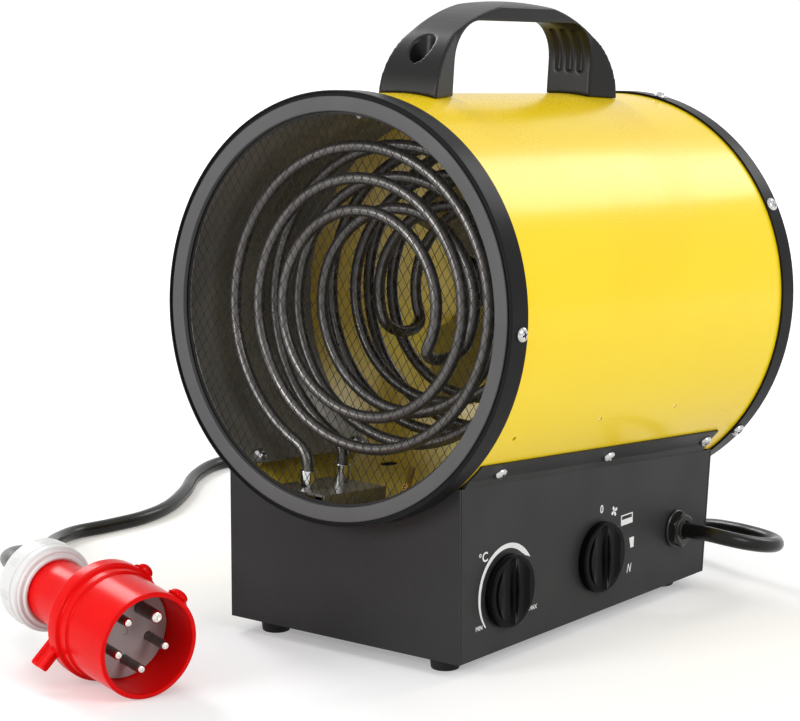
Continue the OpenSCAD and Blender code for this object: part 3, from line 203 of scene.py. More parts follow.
# a finish names only what differs from this, besides its colours and roughness
usualLook = {"shine": 0.5, "metal": 0, "coat": 0, "coatRoughness": 0.08, "uneven": 0.06, "grainScale": 1500,
             "grainHeight": 0.0004, "stretch": (1, 1, 1), "cloudScale": 25, "wear": 0.15}
looks = {
    "yellowEnamel": {"colour": fromScreen(255, 222, 20), "shade": fromScreen(255, 217, 16), "roughness": 0.26,
                     "shine": 0.24, "coat": 0.08, "coatRoughness": 0.1, "grainScale": 700, "grain": 0.03,
                     "cloudScale": 12, "wear": 0.03},
    # painted light and shade inside the drum: the same yellow enamel as outside, made paler, with darker
    # olive patches
    "drumInsidePaintedLightAndShade": {"colour": fromScreen(255, 232, 84), "shade": fromScreen(250, 220, 72), "roughness": 0.36,
                   "grainScale": 600, "grain": 0.08, "cloudScale": 16, "wear": 0.25,
                   "wearColour": fromScreen(200, 170, 60)},
    # one black coat in two tones: the face lighter as painted sheen, the band darker as painted shade
    "ringFacePaintedSheen": {"colour": (0.09, 0.09, 0.091), "shade": (0.082, 0.082, 0.083), "roughness": 0.5,
                  "shine": 0.22, "grain": 0.1, "wear": 0.08},
    "ringBandPaintedShade": {"colour": (0.012, 0.012, 0.0125), "shade": (0.01, 0.01, 0.0105), "roughness": 0.3,
                 "shine": 0.06, "grain": 0.1, "wear": 0.06},
    "powderCoat": {"colour": (0.029, 0.029, 0.03), "shade": (0.025, 0.025, 0.026), "roughness": 0.42,
                   "shine": 0.17, "grainScale": 1800, "grain": 0.22, "wear": 0.1},
    "mouldedPlastic": {"colour": (0.012, 0.012, 0.0125), "shade": (0.01, 0.01, 0.0105), "roughness": 0.32,
                       "shine": 0.2, "grainScale": 2200, "grain": 0.12, "wear": 0.1},
    "dialPlastic": {"colour": (0.0035, 0.0035, 0.004), "shade": (0.003, 0.003, 0.0033), "roughness": 0.24,
                    "shine": 0.05, "grainScale": 2200, "grain": 0.06},
    "meshWire": {"colour": (0.02, 0.019, 0.018), "shade": (0.014, 0.013, 0.012), "roughness": 0.5,
                 "metal": 0.3, "shine": 0.25, "grainScale": 1200, "grain": 0.2},
    "heatedSheet": {"colour": (0.34, 0.325, 0.295), "shade": (0.205, 0.196, 0.178), "roughness": 0.4,
                    "metal": 0.6, "shine": 0.4, "uneven": 0.12, "grainScale": 300, "grain": 0.1,
                    "cloudScale": 12, "wear": 0.4, "wearColour": (0.14, 0.13, 0.11), "stretch": (1, 4, 1)},
    "zincPlate": {"colour": (0.62, 0.62, 0.6), "shade": (0.5, 0.5, 0.49), "roughness": 0.33, "metal": 1,
                  "grainScale": 600, "grain": 0.1, "cloudScale": 60, "uneven": 0.12, "wear": 0.3,
                  "wearColour": (0.42, 0.4, 0.34)},
    "chromeScrew": {"colour": (0.6, 0.6, 0.6), "shade": (0.5, 0.5, 0.51), "roughness": 0.14, "metal": 1,
                    "grainScale": 900, "grain": 0.05, "cloudScale": 200},
    "elementSheath": {"colour": (0.125, 0.119, 0.113), "shade": (0.092, 0.087, 0.083), "roughness": 0.3,
                      "metal": 0.8, "grainScale": 900, "grain": 0.06, "cloudScale": 40, "uneven": 0.08,
                      "wear": 0.3, "wearColour": (0.08, 0.07, 0.06)},
    "brass": {"colour": (0.78, 0.56, 0.2), "shade": (0.66, 0.45, 0.15), "roughness": 0.26, "metal": 1,
              "grainScale": 800, "grain": 0.08, "cloudScale": 120},
    "castAluminium": {"colour": (0.5, 0.5, 0.5), "shade": (0.42, 0.42, 0.42), "roughness": 0.42, "metal": 1,
                      "grainScale": 900, "grain": 0.2, "cloudScale": 50},
    "motorSteel": {"colour": (0.2, 0.2, 0.21), "shade": (0.15, 0.15, 0.16), "roughness": 0.4, "metal": 1,
                   "grainScale": 500, "grain": 0.12, "cloudScale": 40},
    "copper": {"colour": (0.72, 0.36, 0.2), "shade": (0.55, 0.25, 0.14), "roughness": 0.3, "metal": 1,
               "grainScale": 700, "grain": 0.08, "cloudScale": 80},
    "creamPlastic": {"colour": (0.72, 0.68, 0.58), "shade": (0.66, 0.62, 0.52), "roughness": 0.45,
                     "grain": 0.08},
    "ceramic": {"colour": (0.8, 0.78, 0.74), "shade": (0.72, 0.7, 0.66), "roughness": 0.55,
                "grainScale": 1400, "grain": 0.12},
    "rubber": {"colour": (0.014, 0.014, 0.014), "shade": (0.01, 0.01, 0.01), "roughness": 0.62, "shine": 0.25,
               "grainScale": 1300, "grain": 0.25},
    "cordRubber": {"colour": (0.0075, 0.0075, 0.0075), "shade": (0.006, 0.006, 0.006), "roughness": 0.27,
                   "shine": 0.24, "grainScale": 900, "grain": 0.08},
    "leadRubber": {"colour": (0.12, 0.1, 0.08), "shade": (0.08, 0.07, 0.06), "roughness": 0.5,
                   "grainScale": 900, "grain": 0.1},
    "glandPlastic": {"colour": (0.016, 0.016, 0.016), "shade": (0.013, 0.013, 0.013), "roughness": 0.3,
                     "shine": 0.4, "grainScale": 1600, "grain": 0.08},
    "redPlastic": {"colour": fromScreen(232, 8, 8), "shade": fromScreen(222, 6, 6), "roughness": 0.25,
                   "shine": 0.09, "grain": 0.06, "wear": 0.04},
    "greyPlastic": {"colour": fromScreen(226, 226, 225), "shade": fromScreen(218, 218, 217),
                    "roughness": 0.36, "shine": 0.35, "grain": 0.07, "wear": 0.05},
    "insertPlastic": {"colour": fromScreen(164, 158, 157), "shade": fromScreen(154, 149, 148),
                      "roughness": 0.42, "shine": 0.3, "grain": 0.08, "wear": 0.05},
    "pinMetal": {"colour": (0.8, 0.78, 0.74), "shade": (0.7, 0.68, 0.64), "roughness": 0.16, "metal": 1,
                 "grainScale": 900, "grain": 0.05, "cloudScale": 200},
    # painted shade: the pins' sides, darker than their tips though they are one metal
    "pinSidePaintedShade": {"colour": (0.16, 0.14, 0.13), "shade": (0.13, 0.11, 0.1), "roughness": 0.3, "metal": 0.7,
                "grainScale": 900, "grain": 0.05, "cloudScale": 200},
    "markPaint": {"colour": (0.88, 0.88, 0.88), "shade": (0.84, 0.84, 0.84), "roughness": 0.5, "shine": 0.2,
                  "grain": 0.05},
}
finishes = {name: surfaceFinish(name, look) for name, look in looks.items()}

finishOfSlot = {
    "yellow_drum": "yellowEnamel", "grey_ring": "ringFacePaintedSheen", "charcoal_base": "powderCoat",
    "dark_mesh": "meshWire", "bright_sheet": "heatedSheet", "zinc_steel": "zincPlate",
    "chrome_screw": "chromeScrew", "element_sheath": "elementSheath", "brass_parts": "brass",
    "fan_aluminium": "castAluminium", "motor_steel": "motorSteel", "copper_bulb": "copper",
    "black_plastic": "mouldedPlastic", "gland_plastic": "glandPlastic", "cream_plastic": "creamPlastic",
    "cutout_ceramic": "ceramic", "black_rubber": "rubber", "cord_rubber": "cordRubber",
    "lead_rubber": "leadRubber", "red_plastic": "redPlastic", "grey_plastic": "greyPlastic",
    "insert_plastic": "insertPlastic"}
slotOfNode = {part["node"]: part["material_slot"] for part in frame["record"]["subparts"]}
bodyOfNode = {node: body for body, members in frame["record"]["behaviour"]["bodies"].items()
              for node in members}
for name, part in nodes.items():
    for place in part.material_slots:
        place.material = finishes[finishOfSlot[slotOfNode[name]]]
print("materials made")


# working by hand: small helpers round the operators

mergeGap = 0.001  # points nearer than this become one
sharpAngle = 32  # edges that turn more than this are shaded sharp
bevelAngle = 35  # edges that turn more than this are broken by a bevel


def noneSelected():
    bpy.ops.object.select_all(action="DESELECT")


def only(piece):
    noneSelected()
    piece.select_set(True)
    bpy.context.view_layer.objects.active = piece


def editing(piece):
    only(piece)
    bpy.ops.object.mode_set(mode="EDIT")
    bpy.ops.mesh.select_all(action="SELECT")


def doneEditing():
    bpy.ops.object.mode_set(mode="OBJECT")


def linked(name, data):  # an object for a curve or mesh that is there
    piece = bpy.data.objects.new(name, data)
    bpy.context.collection.objects.link(piece)
    only(piece)
    return piece


def drawn(name, points):  # a line of edges through the points
    noneSelected()
    bpy.ops.mesh.primitive_plane_add(size=1)
    piece = bpy.context.object
    piece.name = name
    editing(piece)
    bpy.ops.mesh.merge(type="CENTER")
    bpy.ops.transform.translate(value=points[0])
    for last, point in zip(points, points[1:]):
        step = Vector(point) - Vector(last)
        bpy.ops.mesh.extrude_region_move(TRANSFORM_OT_translate={"value": step})
    bpy.ops.mesh.select_all(action="SELECT")
    bpy.ops.mesh.remove_doubles(threshold=mergeGap)
    doneEditing()
    return piece


def closeUp(piece):
    editing(piece)
    bpy.ops.mesh.remove_doubles(threshold=mergeGap)
    bpy.ops.mesh.normals_make_consistent(inside=False)
    doneEditing()
    return piece


def spun(name, profile, steps=96, turn=360):  # (radius, height) points turned about Z
    piece = drawn(name, [(radius, 0, height) for radius, height in profile])
    editing(piece)
    bpy.ops.mesh.spin(steps=steps, angle=radians(turn), center=(0, 0, 0), axis=(0, 0, 1))
    bpy.ops.mesh.select_all(action="SELECT")
    bpy.ops.mesh.remove_doubles(threshold=mergeGap)
    if turn < 360:
        bpy.ops.mesh.fill_holes(sides=0)
    doneEditing()
    return closeUp(piece)


def slab(name, outline, low, high):  # a flat outline, drawn up to a height
    piece = drawn(name, [(x, y, low) for x, y in outline + outline[:1]])
    editing(piece)
    bpy.ops.mesh.edge_face_add()
    bpy.ops.mesh.extrude_region_move(TRANSFORM_OT_translate={"value": (0, 0, high - low)})
    doneEditing()
    return closeUp(piece)


def rod(name, radius, low, high, sides=48):
    noneSelected()
    bpy.ops.mesh.primitive_cylinder_add(vertices=sides, radius=radius, depth=high - low,
                                        location=(0, 0, (low + high) / 2))
    bpy.context.object.name = name
    return bpy.context.object


def block(name, low, high):
    noneSelected()
    bpy.ops.mesh.primitive_cube_add(size=1)
    piece = bpy.context.object
    piece.name = name
    piece.matrix_world = Matrix.Translation((Vector(low) + Vector(high)) / 2) @ Matrix.Diagonal(
        (*(Vector(high) - Vector(low)), 1))
    return piece


def applyModifier(piece, kind, **settings):
    only(piece)
    modifier = piece.modifiers.new(kind.lower(), kind)
    for key, value in settings.items():
        setattr(modifier, key, value)
    bpy.ops.object.modifier_apply(modifier=modifier.name)
    return piece


def placed(piece, place):  # puts a piece or cutter where the matrix says
    piece.matrix_world = place @ piece.matrix_world
    only(piece)
    bpy.ops.object.transform_apply(location=True, rotation=True, scale=True)
    return piece


def cut(piece, cutter, operation="DIFFERENCE"):
    applyModifier(piece, "BOOLEAN", operation=operation, solver="EXACT", object=cutter)
    bpy.data.objects.remove(cutter)
    return piece


def softEdges(piece, width, parts=2):
    return applyModifier(piece, "BEVEL", width=width, segments=parts, limit_method="ANGLE",
                         angle_limit=radians(bevelAngle), miter_outer="MITER_ARC")


def joined(name, pieces):
    noneSelected()
    for piece in pieces:
        piece.select_set(True)
    bpy.context.view_layer.objects.active = pieces[0]
    if len(pieces) > 1:
        bpy.ops.object.join()
    pieces[0].name = name
    return pieces[0]


def repeated(name, model, places):  # one copy of a model at each place
    twins = []
    for place in places:
        only(model)
        bpy.ops.object.duplicate()
        twins.append(placed(bpy.context.object, place))
    bpy.data.objects.remove(model)
    return joined(name, twins)


def dressed(piece, finish, body, node, smooth=sharpAngle):  # shading, finish, body and the node it stands for
    only(piece)
    bpy.ops.object.shade_smooth_by_angle(angle=radians(smooth))
    applyModifier(piece, "WEIGHTED_NORMAL", keep_sharp=True)
    piece.data.materials.clear()
    piece.data.materials.append(finishes[finish])
    piece.data.name = piece.name
    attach(piece, body)
    if node:
        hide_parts(node)


def finished(piece, place, finish, node=None, body="heater", smooth=sharpAngle):
    dressed(placed(piece, place @ inMm), finish, body, node, smooth)


def twoTone(piece, finish, chosen):  # a second finish on the faces that are chosen
    piece.data.materials.append(finishes[finish])
    for face in piece.data.polygons:
        if chosen(face.center, face.normal):
            face.material_index = 1


def fromAxis(spot):  # distance from the drum axis in millimetres
    local = drumFrame.inverted() @ spot
    return sqrt(local.x ** 2 + local.z ** 2) / mm


def tubes(name, lines, radius, parts):  # round tubes along lines of points
    curve = bpy.data.curves.new(name, "CURVE")
    curve.dimensions = "3D"
    curve.bevel_depth = radius
    curve.bevel_resolution = parts
    curve.use_fill_caps = True
    for line in lines:
        spline = curve.splines.new("POLY")
        spline.points.add(len(line) - 1)
        for point, spot in zip(spline.points, line):
            point.co = (*spot, 1)
    linked(name, curve)
    bpy.ops.object.convert(target="MESH")
    return bpy.context.object


def refined(node, name, width, finish=None):
    # a copy of a CAD node with its flat faces made whole and its edges broken
    piece = linked(name, nodes[node].data.copy())
    editing(piece)
    bpy.ops.mesh.remove_doubles(threshold=2 * mergeGap * mm)
    bpy.ops.mesh.dissolve_limited(angle_limit=radians(0.4))
    doneEditing()
    softEdges(piece, width * mm)
    dressed(piece, finish or finishOfSlot[slotOfNode[node]], bodyOfNode[node], node)


# supply cord

supplyCord = {"diameter": 8.6, "exit": (85.5, 75, 40), "intoPlug": (138, 122), "route": [
    (85.5, 75, 40), (101, 75, 40), (111, 78, 38.5), (119, 85, 36), (124, 96, 33), (124.5, 108, 30.5),
    (120, 119, 28.5), (111, 128, 27.5), (97, 134, 27), (80, 138, 26.5), (61, 143, 24.5), (42, 150, 19.5),
    (25, 157, 12.5), (6, 166, 6.5), (-20, 178, 4.3), (-70, 202, 4.3), (-130, 222, 4.3), (-190, 230, 4.3),
    (-250, 222, 4.3), (-298, 200, 4.3), (-324, 170, 4.3), (-330, 144, 4.3), (-318, 110, 4.3), (-296, 75, 4.3),
    (-279, 40, 4.3), (-273, 10, 4.3), (-276, -18, 4.3), (-280, -44, 4.8), (-273, -67, 6.5), (-259, -88, 10),
    (-242, -109, 15), (-225, -131, 21), (-211, -155, 27.5), (-199, -179, 33.5), (-184, -200, 37.5)]}


def makeCord(look):
    route = [Vector(point) * mm for point in look["route"]]
    route += [plugFrame @ Vector((0, 0, -back * mm)) for back in look["intoPlug"]]
    curve = bpy.data.curves.new("supplyCord", "CURVE")
    curve.dimensions = "3D"
    curve.bevel_depth = look["diameter"] / 2 * mm
    curve.bevel_resolution = 8
    curve.resolution_u = 10
    spline = curve.splines.new("BEZIER")
    spline.bezier_points.add(len(route) - 1)
    lowest = look["diameter"] / 2 * mm
    length = 0
    for i, spot in enumerate(route):
        point = spline.bezier_points[i]
        point.handle_left_type = point.handle_right_type = "FREE"
        lead = (route[min(i + 1, len(route) - 1)] - route[max(i - 1, 0)]) / 6
        point.co = spot
        point.handle_left = spot - lead
        point.handle_right = spot + lead
        for handle in (point.handle_left, point.handle_right):
            handle.z = max(handle.z, lowest)
    for first, second in zip(spline.bezier_points, spline.bezier_points[1:]):
        steps = bezierPoints(first.co, first.handle_right, second.handle_left, second.co, 12)
        length += sum((b - a).length for a, b in zip(steps, steps[1:]))
    piece = linked("supplyCord", curve)
    curve.materials.append(finishes["cordRubber"])
    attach(piece, "heater")
    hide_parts("supply_cord")
    return piece, length


cordPiece, cordLength = makeCord(supplyCord)
print("cord laid,", round(cordLength, 3), "m")


# plug: mouth at 0, inside towards -Z

plugParts = {"wall": 3, "radius": 29, "flange": 32.5, "flangeAt": 40, "flangeEnd": 48, "nutEnd": 122,
             "nutRadius": 24.2, "insertTop": 24, "insertEnd": 46, "pinCircle": 15, "pinTip": 6,
             "pinRadius": 2.5, "earthRadius": 3.5, "pinHole": 2.6, "earthHole": 3.6,
             "pinTurns": (126, 198, 270, 342), "earthTurn": 54, "keyTurn": 44, "lugTurn": 226,
             "lugRoot": (-22.3, -7.3), "lugLength": 20}


def makePlug(look):
    r, flange, top, end = look["radius"], look["flange"], -look["flangeAt"], -look["flangeEnd"]
    bore = r - look["wall"]
    shroud = spun("plugShroud", [
        (bore, end), (bore, -1.2), (bore + 0.4, -0.3), (bore + 1.2, 0), (r - 1.2, 0), (r - 0.3, -0.4),
        (r, -1.2), (r + 0.1, top + 7.5), (r + 0.4, top + 6.8), (r + 0.9, top + 6.6), (r + 1.3, top + 6.2),
        (r + 1.4, top + 3.4), (r + 1.4, top + 1.1), (r + 1.7, top + 0.6), (flange - 1, top + 0.4),
        (flange - 0.3, top), (flange, top - 0.8), (flange, end + 0.9), (flange - 0.3, end + 0.2),
        (flange - 1, end), (bore, end)], 128)
    prong = softEdges(block("prong", (r - 1.5, -4.8, -13.5), (r + 4.6, 4.8, -2)), 2.2, 5)
    stem = softEdges(block("stem", (r - 1.5, -7.4, -11.5), (r + 2.2, 7.4, -3.5)), 1.2, 3)
    heel = softEdges(block("heel", (r, -5.2, end + 0.2), (flange + 4.2, 5.2, top - 0.4)), 2.2, 5)
    step = softEdges(block("step", (r, -8, end + 1), (flange + 1.8, 8, top - 1)), 1, 3)
    for bump in (prong, stem, heel, step):
        placed(bump, turned(look["keyTurn"], "Z"))
    lug = block("lug", (0, -2, -56), (look["lugLength"], 2, -44))
    for y in (-2, 2):  # hollow on both sides
        cut(lug, block("hollow", (2, y - 0.8, -52.6), (look["lugLength"] + 2, y + 0.8, -47.4)))
    softEdges(lug, 0.35)
    placed(lug, moved(*look["lugRoot"], 0) @ turned(look["lugTurn"], "Z"))
    finished(joined("plugShroud", [shroud, prong, stem, heel, step, lug]), plugFrame, "redPlastic",
             "plug_shroud")

    neck = spun("plugBody", [(0, end + 1), (26.2, end + 1), (26.4, end), (26, end - 1.2), (24, end - 3.4),
                             (21.8, end - 6), (20.2, end - 10), (19.2, end - 16), (18.5, end - 24),
                             (17.9, end - 34), (17.4, -93), (17.4, -98), (0, -98)])
    finished(neck, plugFrame, "redPlastic", "plug_body")

    r, back = look["nutRadius"], -look["nutEnd"]
    nut = spun("plugNut", [
        (0, -94.6), (17.9, -94.6), (18.1, -93.6), (18.9, -93.2), (19.7, -93.5), (20, -94.4), (20.2, -95.2),
        (21, -95.4), (21.8, -95), (22.4, -95.4), (22.7, -96.4), (23.4, -96.8), (r - 0.3, -97.2), (r, -98),
        (r, -101), (r - 0.6, -101.4), (r - 0.6, -102.2), (r, -102.6), (r, -112.4), (r - 0.5, -113.6),
        (r - 1.6, -114.4), (20.6, -117.4), (17.4, -120.4), (15.4, -121.8), (14.6, back), (0, back)], 128)
    rib = softEdges(block("rib", (r - 0.5, -0.4, -111.6), (r + 0.4, 0.4, -104.6)), 0.25)
    ribs = repeated("ribs", rib, [turned(45 * i + 3.4 * k, "Z") for i in range(8) for k in range(4)])
    finished(joined("plugNut", [nut, ribs]), plugFrame, "greyPlastic", "plug_gland_nut")

    low, high = -look["insertEnd"], -look["insertTop"]
    insert = spun("plugInsert", [(0, low), (bore - 0.1, low), (bore - 0.1, high - 0.8), (bore - 0.9, high),
                                 (2, high), (1.6, high - 0.6), (0, high - 0.6)])
    phasePlaces = [turned(turn, "Z") @ moved(look["pinCircle"], 0, 0) for turn in look["pinTurns"]]
    earthPlace = turned(look["earthTurn"], "Z") @ moved(look["pinCircle"], 0, 0)
    for place in phasePlaces:
        cut(insert, placed(rod("hole", look["pinHole"], low - 1, high + 1, 40), place))
    cut(insert, placed(rod("hole", look["earthHole"], low - 1, high + 1, 40), earthPlace))
    finished(insert, plugFrame, "insertPlastic", "plug_insert")

    def onSide(spot, normal):  # the side of a pin, apart from its tip
        return abs(normal.dot(plugFrame.col[2].to_3d())) < 0.2

    def pin(name, r, dimple):
        tip = -look["pinTip"]
        return spun(name, [(0, low), (r, low), (r, tip - 1.7), (r * 0.93, tip - 0.9), (r * 0.74, tip - 0.3),
                           (r * 0.5, tip), (dimple, tip), (dimple * 0.6, tip - 0.4), (0, tip - 0.5)], 40)

    phase = repeated("phasePins", pin("pin", look["pinRadius"], 0.5), phasePlaces)
    earth = placed(pin("earthPin", look["earthRadius"], 1.2), earthPlace)
    for piece, node in ((phase, "phase_pins"), (earth, "earth_pin")):
        finished(piece, plugFrame, "pinMetal", node)
        # the pins' sides take a darker copy of their metal: painted shade inside the shroud
        twoTone(piece, "pinSidePaintedShade", onSide)


makePlug(plugParts)
print("plug made")


# drum

drum = {"radius": 114, "wall": 0.8, "halfLength": 137, "smallHole": 1.3,
        "smallHoles": ((-30.6, -106.4), (-27.9, -30.8), (-27, 42)), "handleScrewRows": (-75, 75),
        "handleScrewHole": 2.7, "slotTurns": (243, 297), "slotY": -15, "slotRadius": 2, "slotStretch": 4,
        "windows": (((-40.6, -127.2, -116), (-19.1, -74.8, -101.8)),
                    ((19.1, -43.2, -116), (40.6, 9.2, -101.8)))}


def makeDrum(look):
    r, half = look["radius"], look["halfLength"]
    inner = r - look["wall"]
    shell = spun("drumShell", [(inner, -half + 0.2), (inner + 0.2, -half), (r - 0.2, -half), (r, -half + 0.2),
                               (r, half - 0.2), (r - 0.2, half), (inner + 0.2, half), (inner, half - 0.2),
                               (inner, -half + 0.2)], 192)
    placed(shell, alongDrum)
    along = Matrix.Diagonal((1, look["slotStretch"], 1, 1))
    holes = [(look["smallHole"], onDrum(turn, y, r)) for turn, y in look["smallHoles"]]
    holes += [(look["handleScrewHole"], onDrum(90, y, r)) for y in look["handleScrewRows"]]
    holes += [(look["slotRadius"], onDrum(turn, look["slotY"], r) @ along) for turn in look["slotTurns"]]
    through = 5 * look["wall"]
    for radius, place in holes:
        cut(shell, placed(rod("hole", radius, -through, through, 24), place))
    for low, high in look["windows"]:
        cut(shell, block("window", low, high))
    finished(shell, drumFrame, "yellowEnamel", "drum_shell")
    # the inner faces take a paler copy of the yellow with darker olive patches: painted light and shade of
    # the drum's inside
    twoTone(shell, "drumInsidePaintedLightAndShade", lambda spot, normal: fromAxis(spot + normal * mm) < fromAxis(spot) - 0.5)


makeDrum(drum)

endRing = {"open": 104.5, "inner": 114.3, "outer": 115.5, "bead": 1.5, "plate": 1.2, "groove": 1.8,
           "frontBand": 15, "rearBand": 12.5, "halfLength": 140}


def makeRing(name, look, band, side, node):
    o, i, r, plate = look["open"], look["inner"], look["outer"], look["bead"] + look["plate"]
    step = r - look["groove"] - look["plate"]
    ring = spun(name, [
        (o, plate), (o, 0.9), (o + 0.25, 0.3), (o + 0.8, 0), (step - 0.8, 0), (step - 0.2, 0.3), (step, 0.9),
        (step + 0.1, look["bead"]), (i - 0.1, look["bead"]), (i, 0.9), (i + 0.25, 0.65), (r - 0.35, 0.6),
        (r - 0.1, 0.8), (r, 1.2), (r, band - 0.3), (r - 0.2, band), (i + 0.2, band), (i, band - 0.2),
        (i, plate), (o, plate)], 192)
    placed(ring, moved(0, side * look["halfLength"], 0) @ turned(side * 90, "X"))
    finished(ring, drumFrame, "ringFacePaintedSheen", node)
    # faces beyond the flat face take the darker copy: painted shade, beside the face's painted sheen
    twoTone(ring, "ringBandPaintedShade", lambda spot, normal: fromAxis(spot) > step - 0.1)


makeRing("frontRing", endRing, endRing["frontBand"], -1, "front_ring")
makeRing("rearRing", endRing, endRing["rearBand"], 1, "rear_ring")
print("drum and rings made")


# screws

crossScrew = {"headRadius": 4, "headHeight": 2.4, "shank": 1.9, "length": 5, "slot": 1.05, "slotDepth": 1.3,
              "slotTurn": 20, "nextTurn": 37}


def makeScrew(look):
    r, h, shank, down = look["headRadius"], look["headHeight"], look["shank"], look["length"]
    half, floor = look["slot"] / 2, -look["slotDepth"] + h * 0.2 - h
    screw = spun("screw", [(0, -down), (shank * 0.6, -down), (shank, -down + 0.8), (shank, 0), (r - 0.2, 0),
                           (r, 0.25), (r * 0.97, h * 0.42), (r * 0.86, h * 0.68), (r * 0.66, h * 0.88),
                           (r * 0.4, h * 0.98), (0, h)], 36)
    for angle in (0, 90):
        arm = slab("arm", [(-r * 0.58, half), (-r * 0.3, floor), (r * 0.3, floor), (r * 0.58, half)],
                   -half, half)
        cut(screw, placed(arm, turned(angle + look["slotTurn"], "Z") @ moved(0, 0, h) @ turned(90, "X")))
    return screw


screwRows = {"frontTurns": (0, 120, 240), "frontY": -130.7, "rearTurns": (30, 120, 210, 300), "rearY": 132.25,
             "motorTurns": (80, 200, 320), "motorSpot": (27, 119.5, 0), "flangeTurns": (-43.4, 223.4),
             "flangeRows": (-96.9, 5, 105), "flangeLift": 1.3}


def screwPlaces(look):  # for each set its node and the places of its heads
    ring, front, rear = endRing["outer"], look["frontY"], look["rearY"]
    motor = [turned(-turn, "Y") @ moved(*look["motorSpot"]) @ alongDrum for turn in look["motorTurns"]]
    return {
        "frontRingScrews": ("front_ring_screws", [onDrum(t, front, ring) for t in look["frontTurns"]]),
        "rearRingScrews": ("rear_ring_screws", [onDrum(t, rear, ring) for t in look["rearTurns"]]),
        "motorScrews": ("motor_screws", [onDrum(t, rear, ring) for t in look["motorTurns"]] + motor),
        "flangeScrews": ("flange_screws", [onDrum(t, y, drum["radius"] + look["flangeLift"])
                                           for t in look["flangeTurns"] for y in look["flangeRows"]]),
    }


screwModel = makeScrew(crossScrew)
for name, (node, places) in screwPlaces(screwRows).items():
    only(screwModel)
    bpy.ops.object.duplicate()
    places = [place @ turned(crossScrew["nextTurn"] * i, "Z") for i, place in enumerate(places)]
    finished(repeated(name, bpy.context.object, places), drumFrame, "chromeScrew", node)
bpy.data.objects.remove(screwModel)
print("screws made")


# handle

handle = {"half": 87, "rise": 51, "sink": 4, "corner": 44, "crown": 43, "footWidth": 40, "gripWidth": 30,
          "fingerLength": 130, "fingerHeight": 40.5, "fingerCorner": 22, "grooves": 3, "grooveWidth": 3.4,
          "grooveDepth": 1.5, "grooveFrom": 17, "grooveTo": 40.6, "wellRadius": 6.5, "wellFloor": 4,
          "seatGap": 0.15, "voxel": 0.55, "smooth": 16, "share": 0.4}


def makeHandle(look):
    half, sink, corner = look["half"], look["sink"], look["corner"]
    base, rise = drum["radius"] - sink, look["rise"] + sink
    middle = half - corner
    big = (middle ** 2 + rise ** 2 - corner ** 2) / (2 * (rise - corner))
    tip = 180 / pi * atan2(middle, big - rise)
    sideways = turned(90, "Z") @ turned(90, "X")  # outline X along the drum, Y up, Z to +X
    arch = [(half, -sink)] + arcPoints((middle, 0), corner, 0, 90 - tip, 24)
    arch += arcPoints((0, rise - big), big, 90 - tip, 90 + tip, 24)[1:]
    arch += arcPoints((-middle, 0), corner, 90 + tip, 180, 24)[1:] + [(-half, -sink)]
    body = placed(slab("handle", arch, -look["footWidth"] / 2, look["footWidth"] / 2),
                  moved(0, 0, base) @ sideways)
    w, g, f = look["footWidth"] / 2, look["gripWidth"] / 2, look["fingerLength"] / 2
    over = half + 1
    plan = [(-w, -over), (w, -over), (g, -f), (g, f), (w, over), (-w, over), (-g, f), (-g, -f)]
    cut(body, slab("plan", plan, base - 2 * sink, base + 2 * rise), "INTERSECT")
    crown = rod("crown", look["crown"], -over, over, 160)
    cut(body, placed(crown, moved(0, 0, base + rise - look["crown"]) @ alongDrum), "INTERSECT")
    cut(body, placed(rod("drum", drum["radius"] + look["seatGap"], -over, over, 192), alongDrum))

    def opening(grow, start):
        top, side, r = sink + look["fingerHeight"] + grow, f + grow, look["fingerCorner"] + grow
        return ([(side, start)] + arcPoints((side - r, top - r), r, 0, 90, 20)
                + arcPoints((r - side, top - r), r, 90, 180, 20) + [(-side, start)])

    cut(body, placed(slab("opening", opening(0, -3 * sink), -over, over), moved(0, 0, base) @ sideways))
    for i in range(look["grooves"]):
        x, wide = (i - 1) * look["gripWidth"] / 4, look["grooveWidth"]
        groove = slab("groove", opening(look["grooveDepth"], look["grooveFrom"]), x - wide / 2, x + wide / 2)
        cut(groove, block("low", (-half, -half, x - wide), (half, look["grooveTo"], x + wide)), "INTERSECT")
        cut(body, placed(groove, moved(0, 0, base) @ sideways))
    for y in drum["handleScrewRows"]:
        well = rod("well", look["wellRadius"], drum["radius"] + look["wellFloor"], base + 2 * rise)
        cut(body, placed(well, moved(0, y, 0)))
    applyModifier(body, "REMESH", mode="VOXEL", voxel_size=look["voxel"], use_smooth_shade=True)
    applyModifier(body, "SMOOTH", factor=0.5, iterations=look["smooth"])
    applyModifier(body, "DECIMATE", ratio=look["share"])
    finished(body, drumFrame, "mouldedPlastic", "handle", smooth=80)


makeHandle(handle)
print("handle made")


# base

for node, name, width in (("base_tray", "baseTray", 0.4), ("control_panel", "controlPanel", 0.4),
                          ("side_panel", "sidePanel", 0.4), ("rubber_feet", "rubberFeet", 0.8)):
    refined(node, name, width)
print("base made")


# dials: X to the right, Y up, Z out of the panel

dial = {"radius": 20, "gap": 0.6, "front": 5, "lensLength": 36, "lensWidth": 31, "lensTop": 6,
        "scoop": 20, "scoopAt": 6.4, "scoopFloor": 4.95, "rib": 2, "ribAt": 2.2, "ribTop": 7,
        "thermostatY": -90, "modeY": -3}


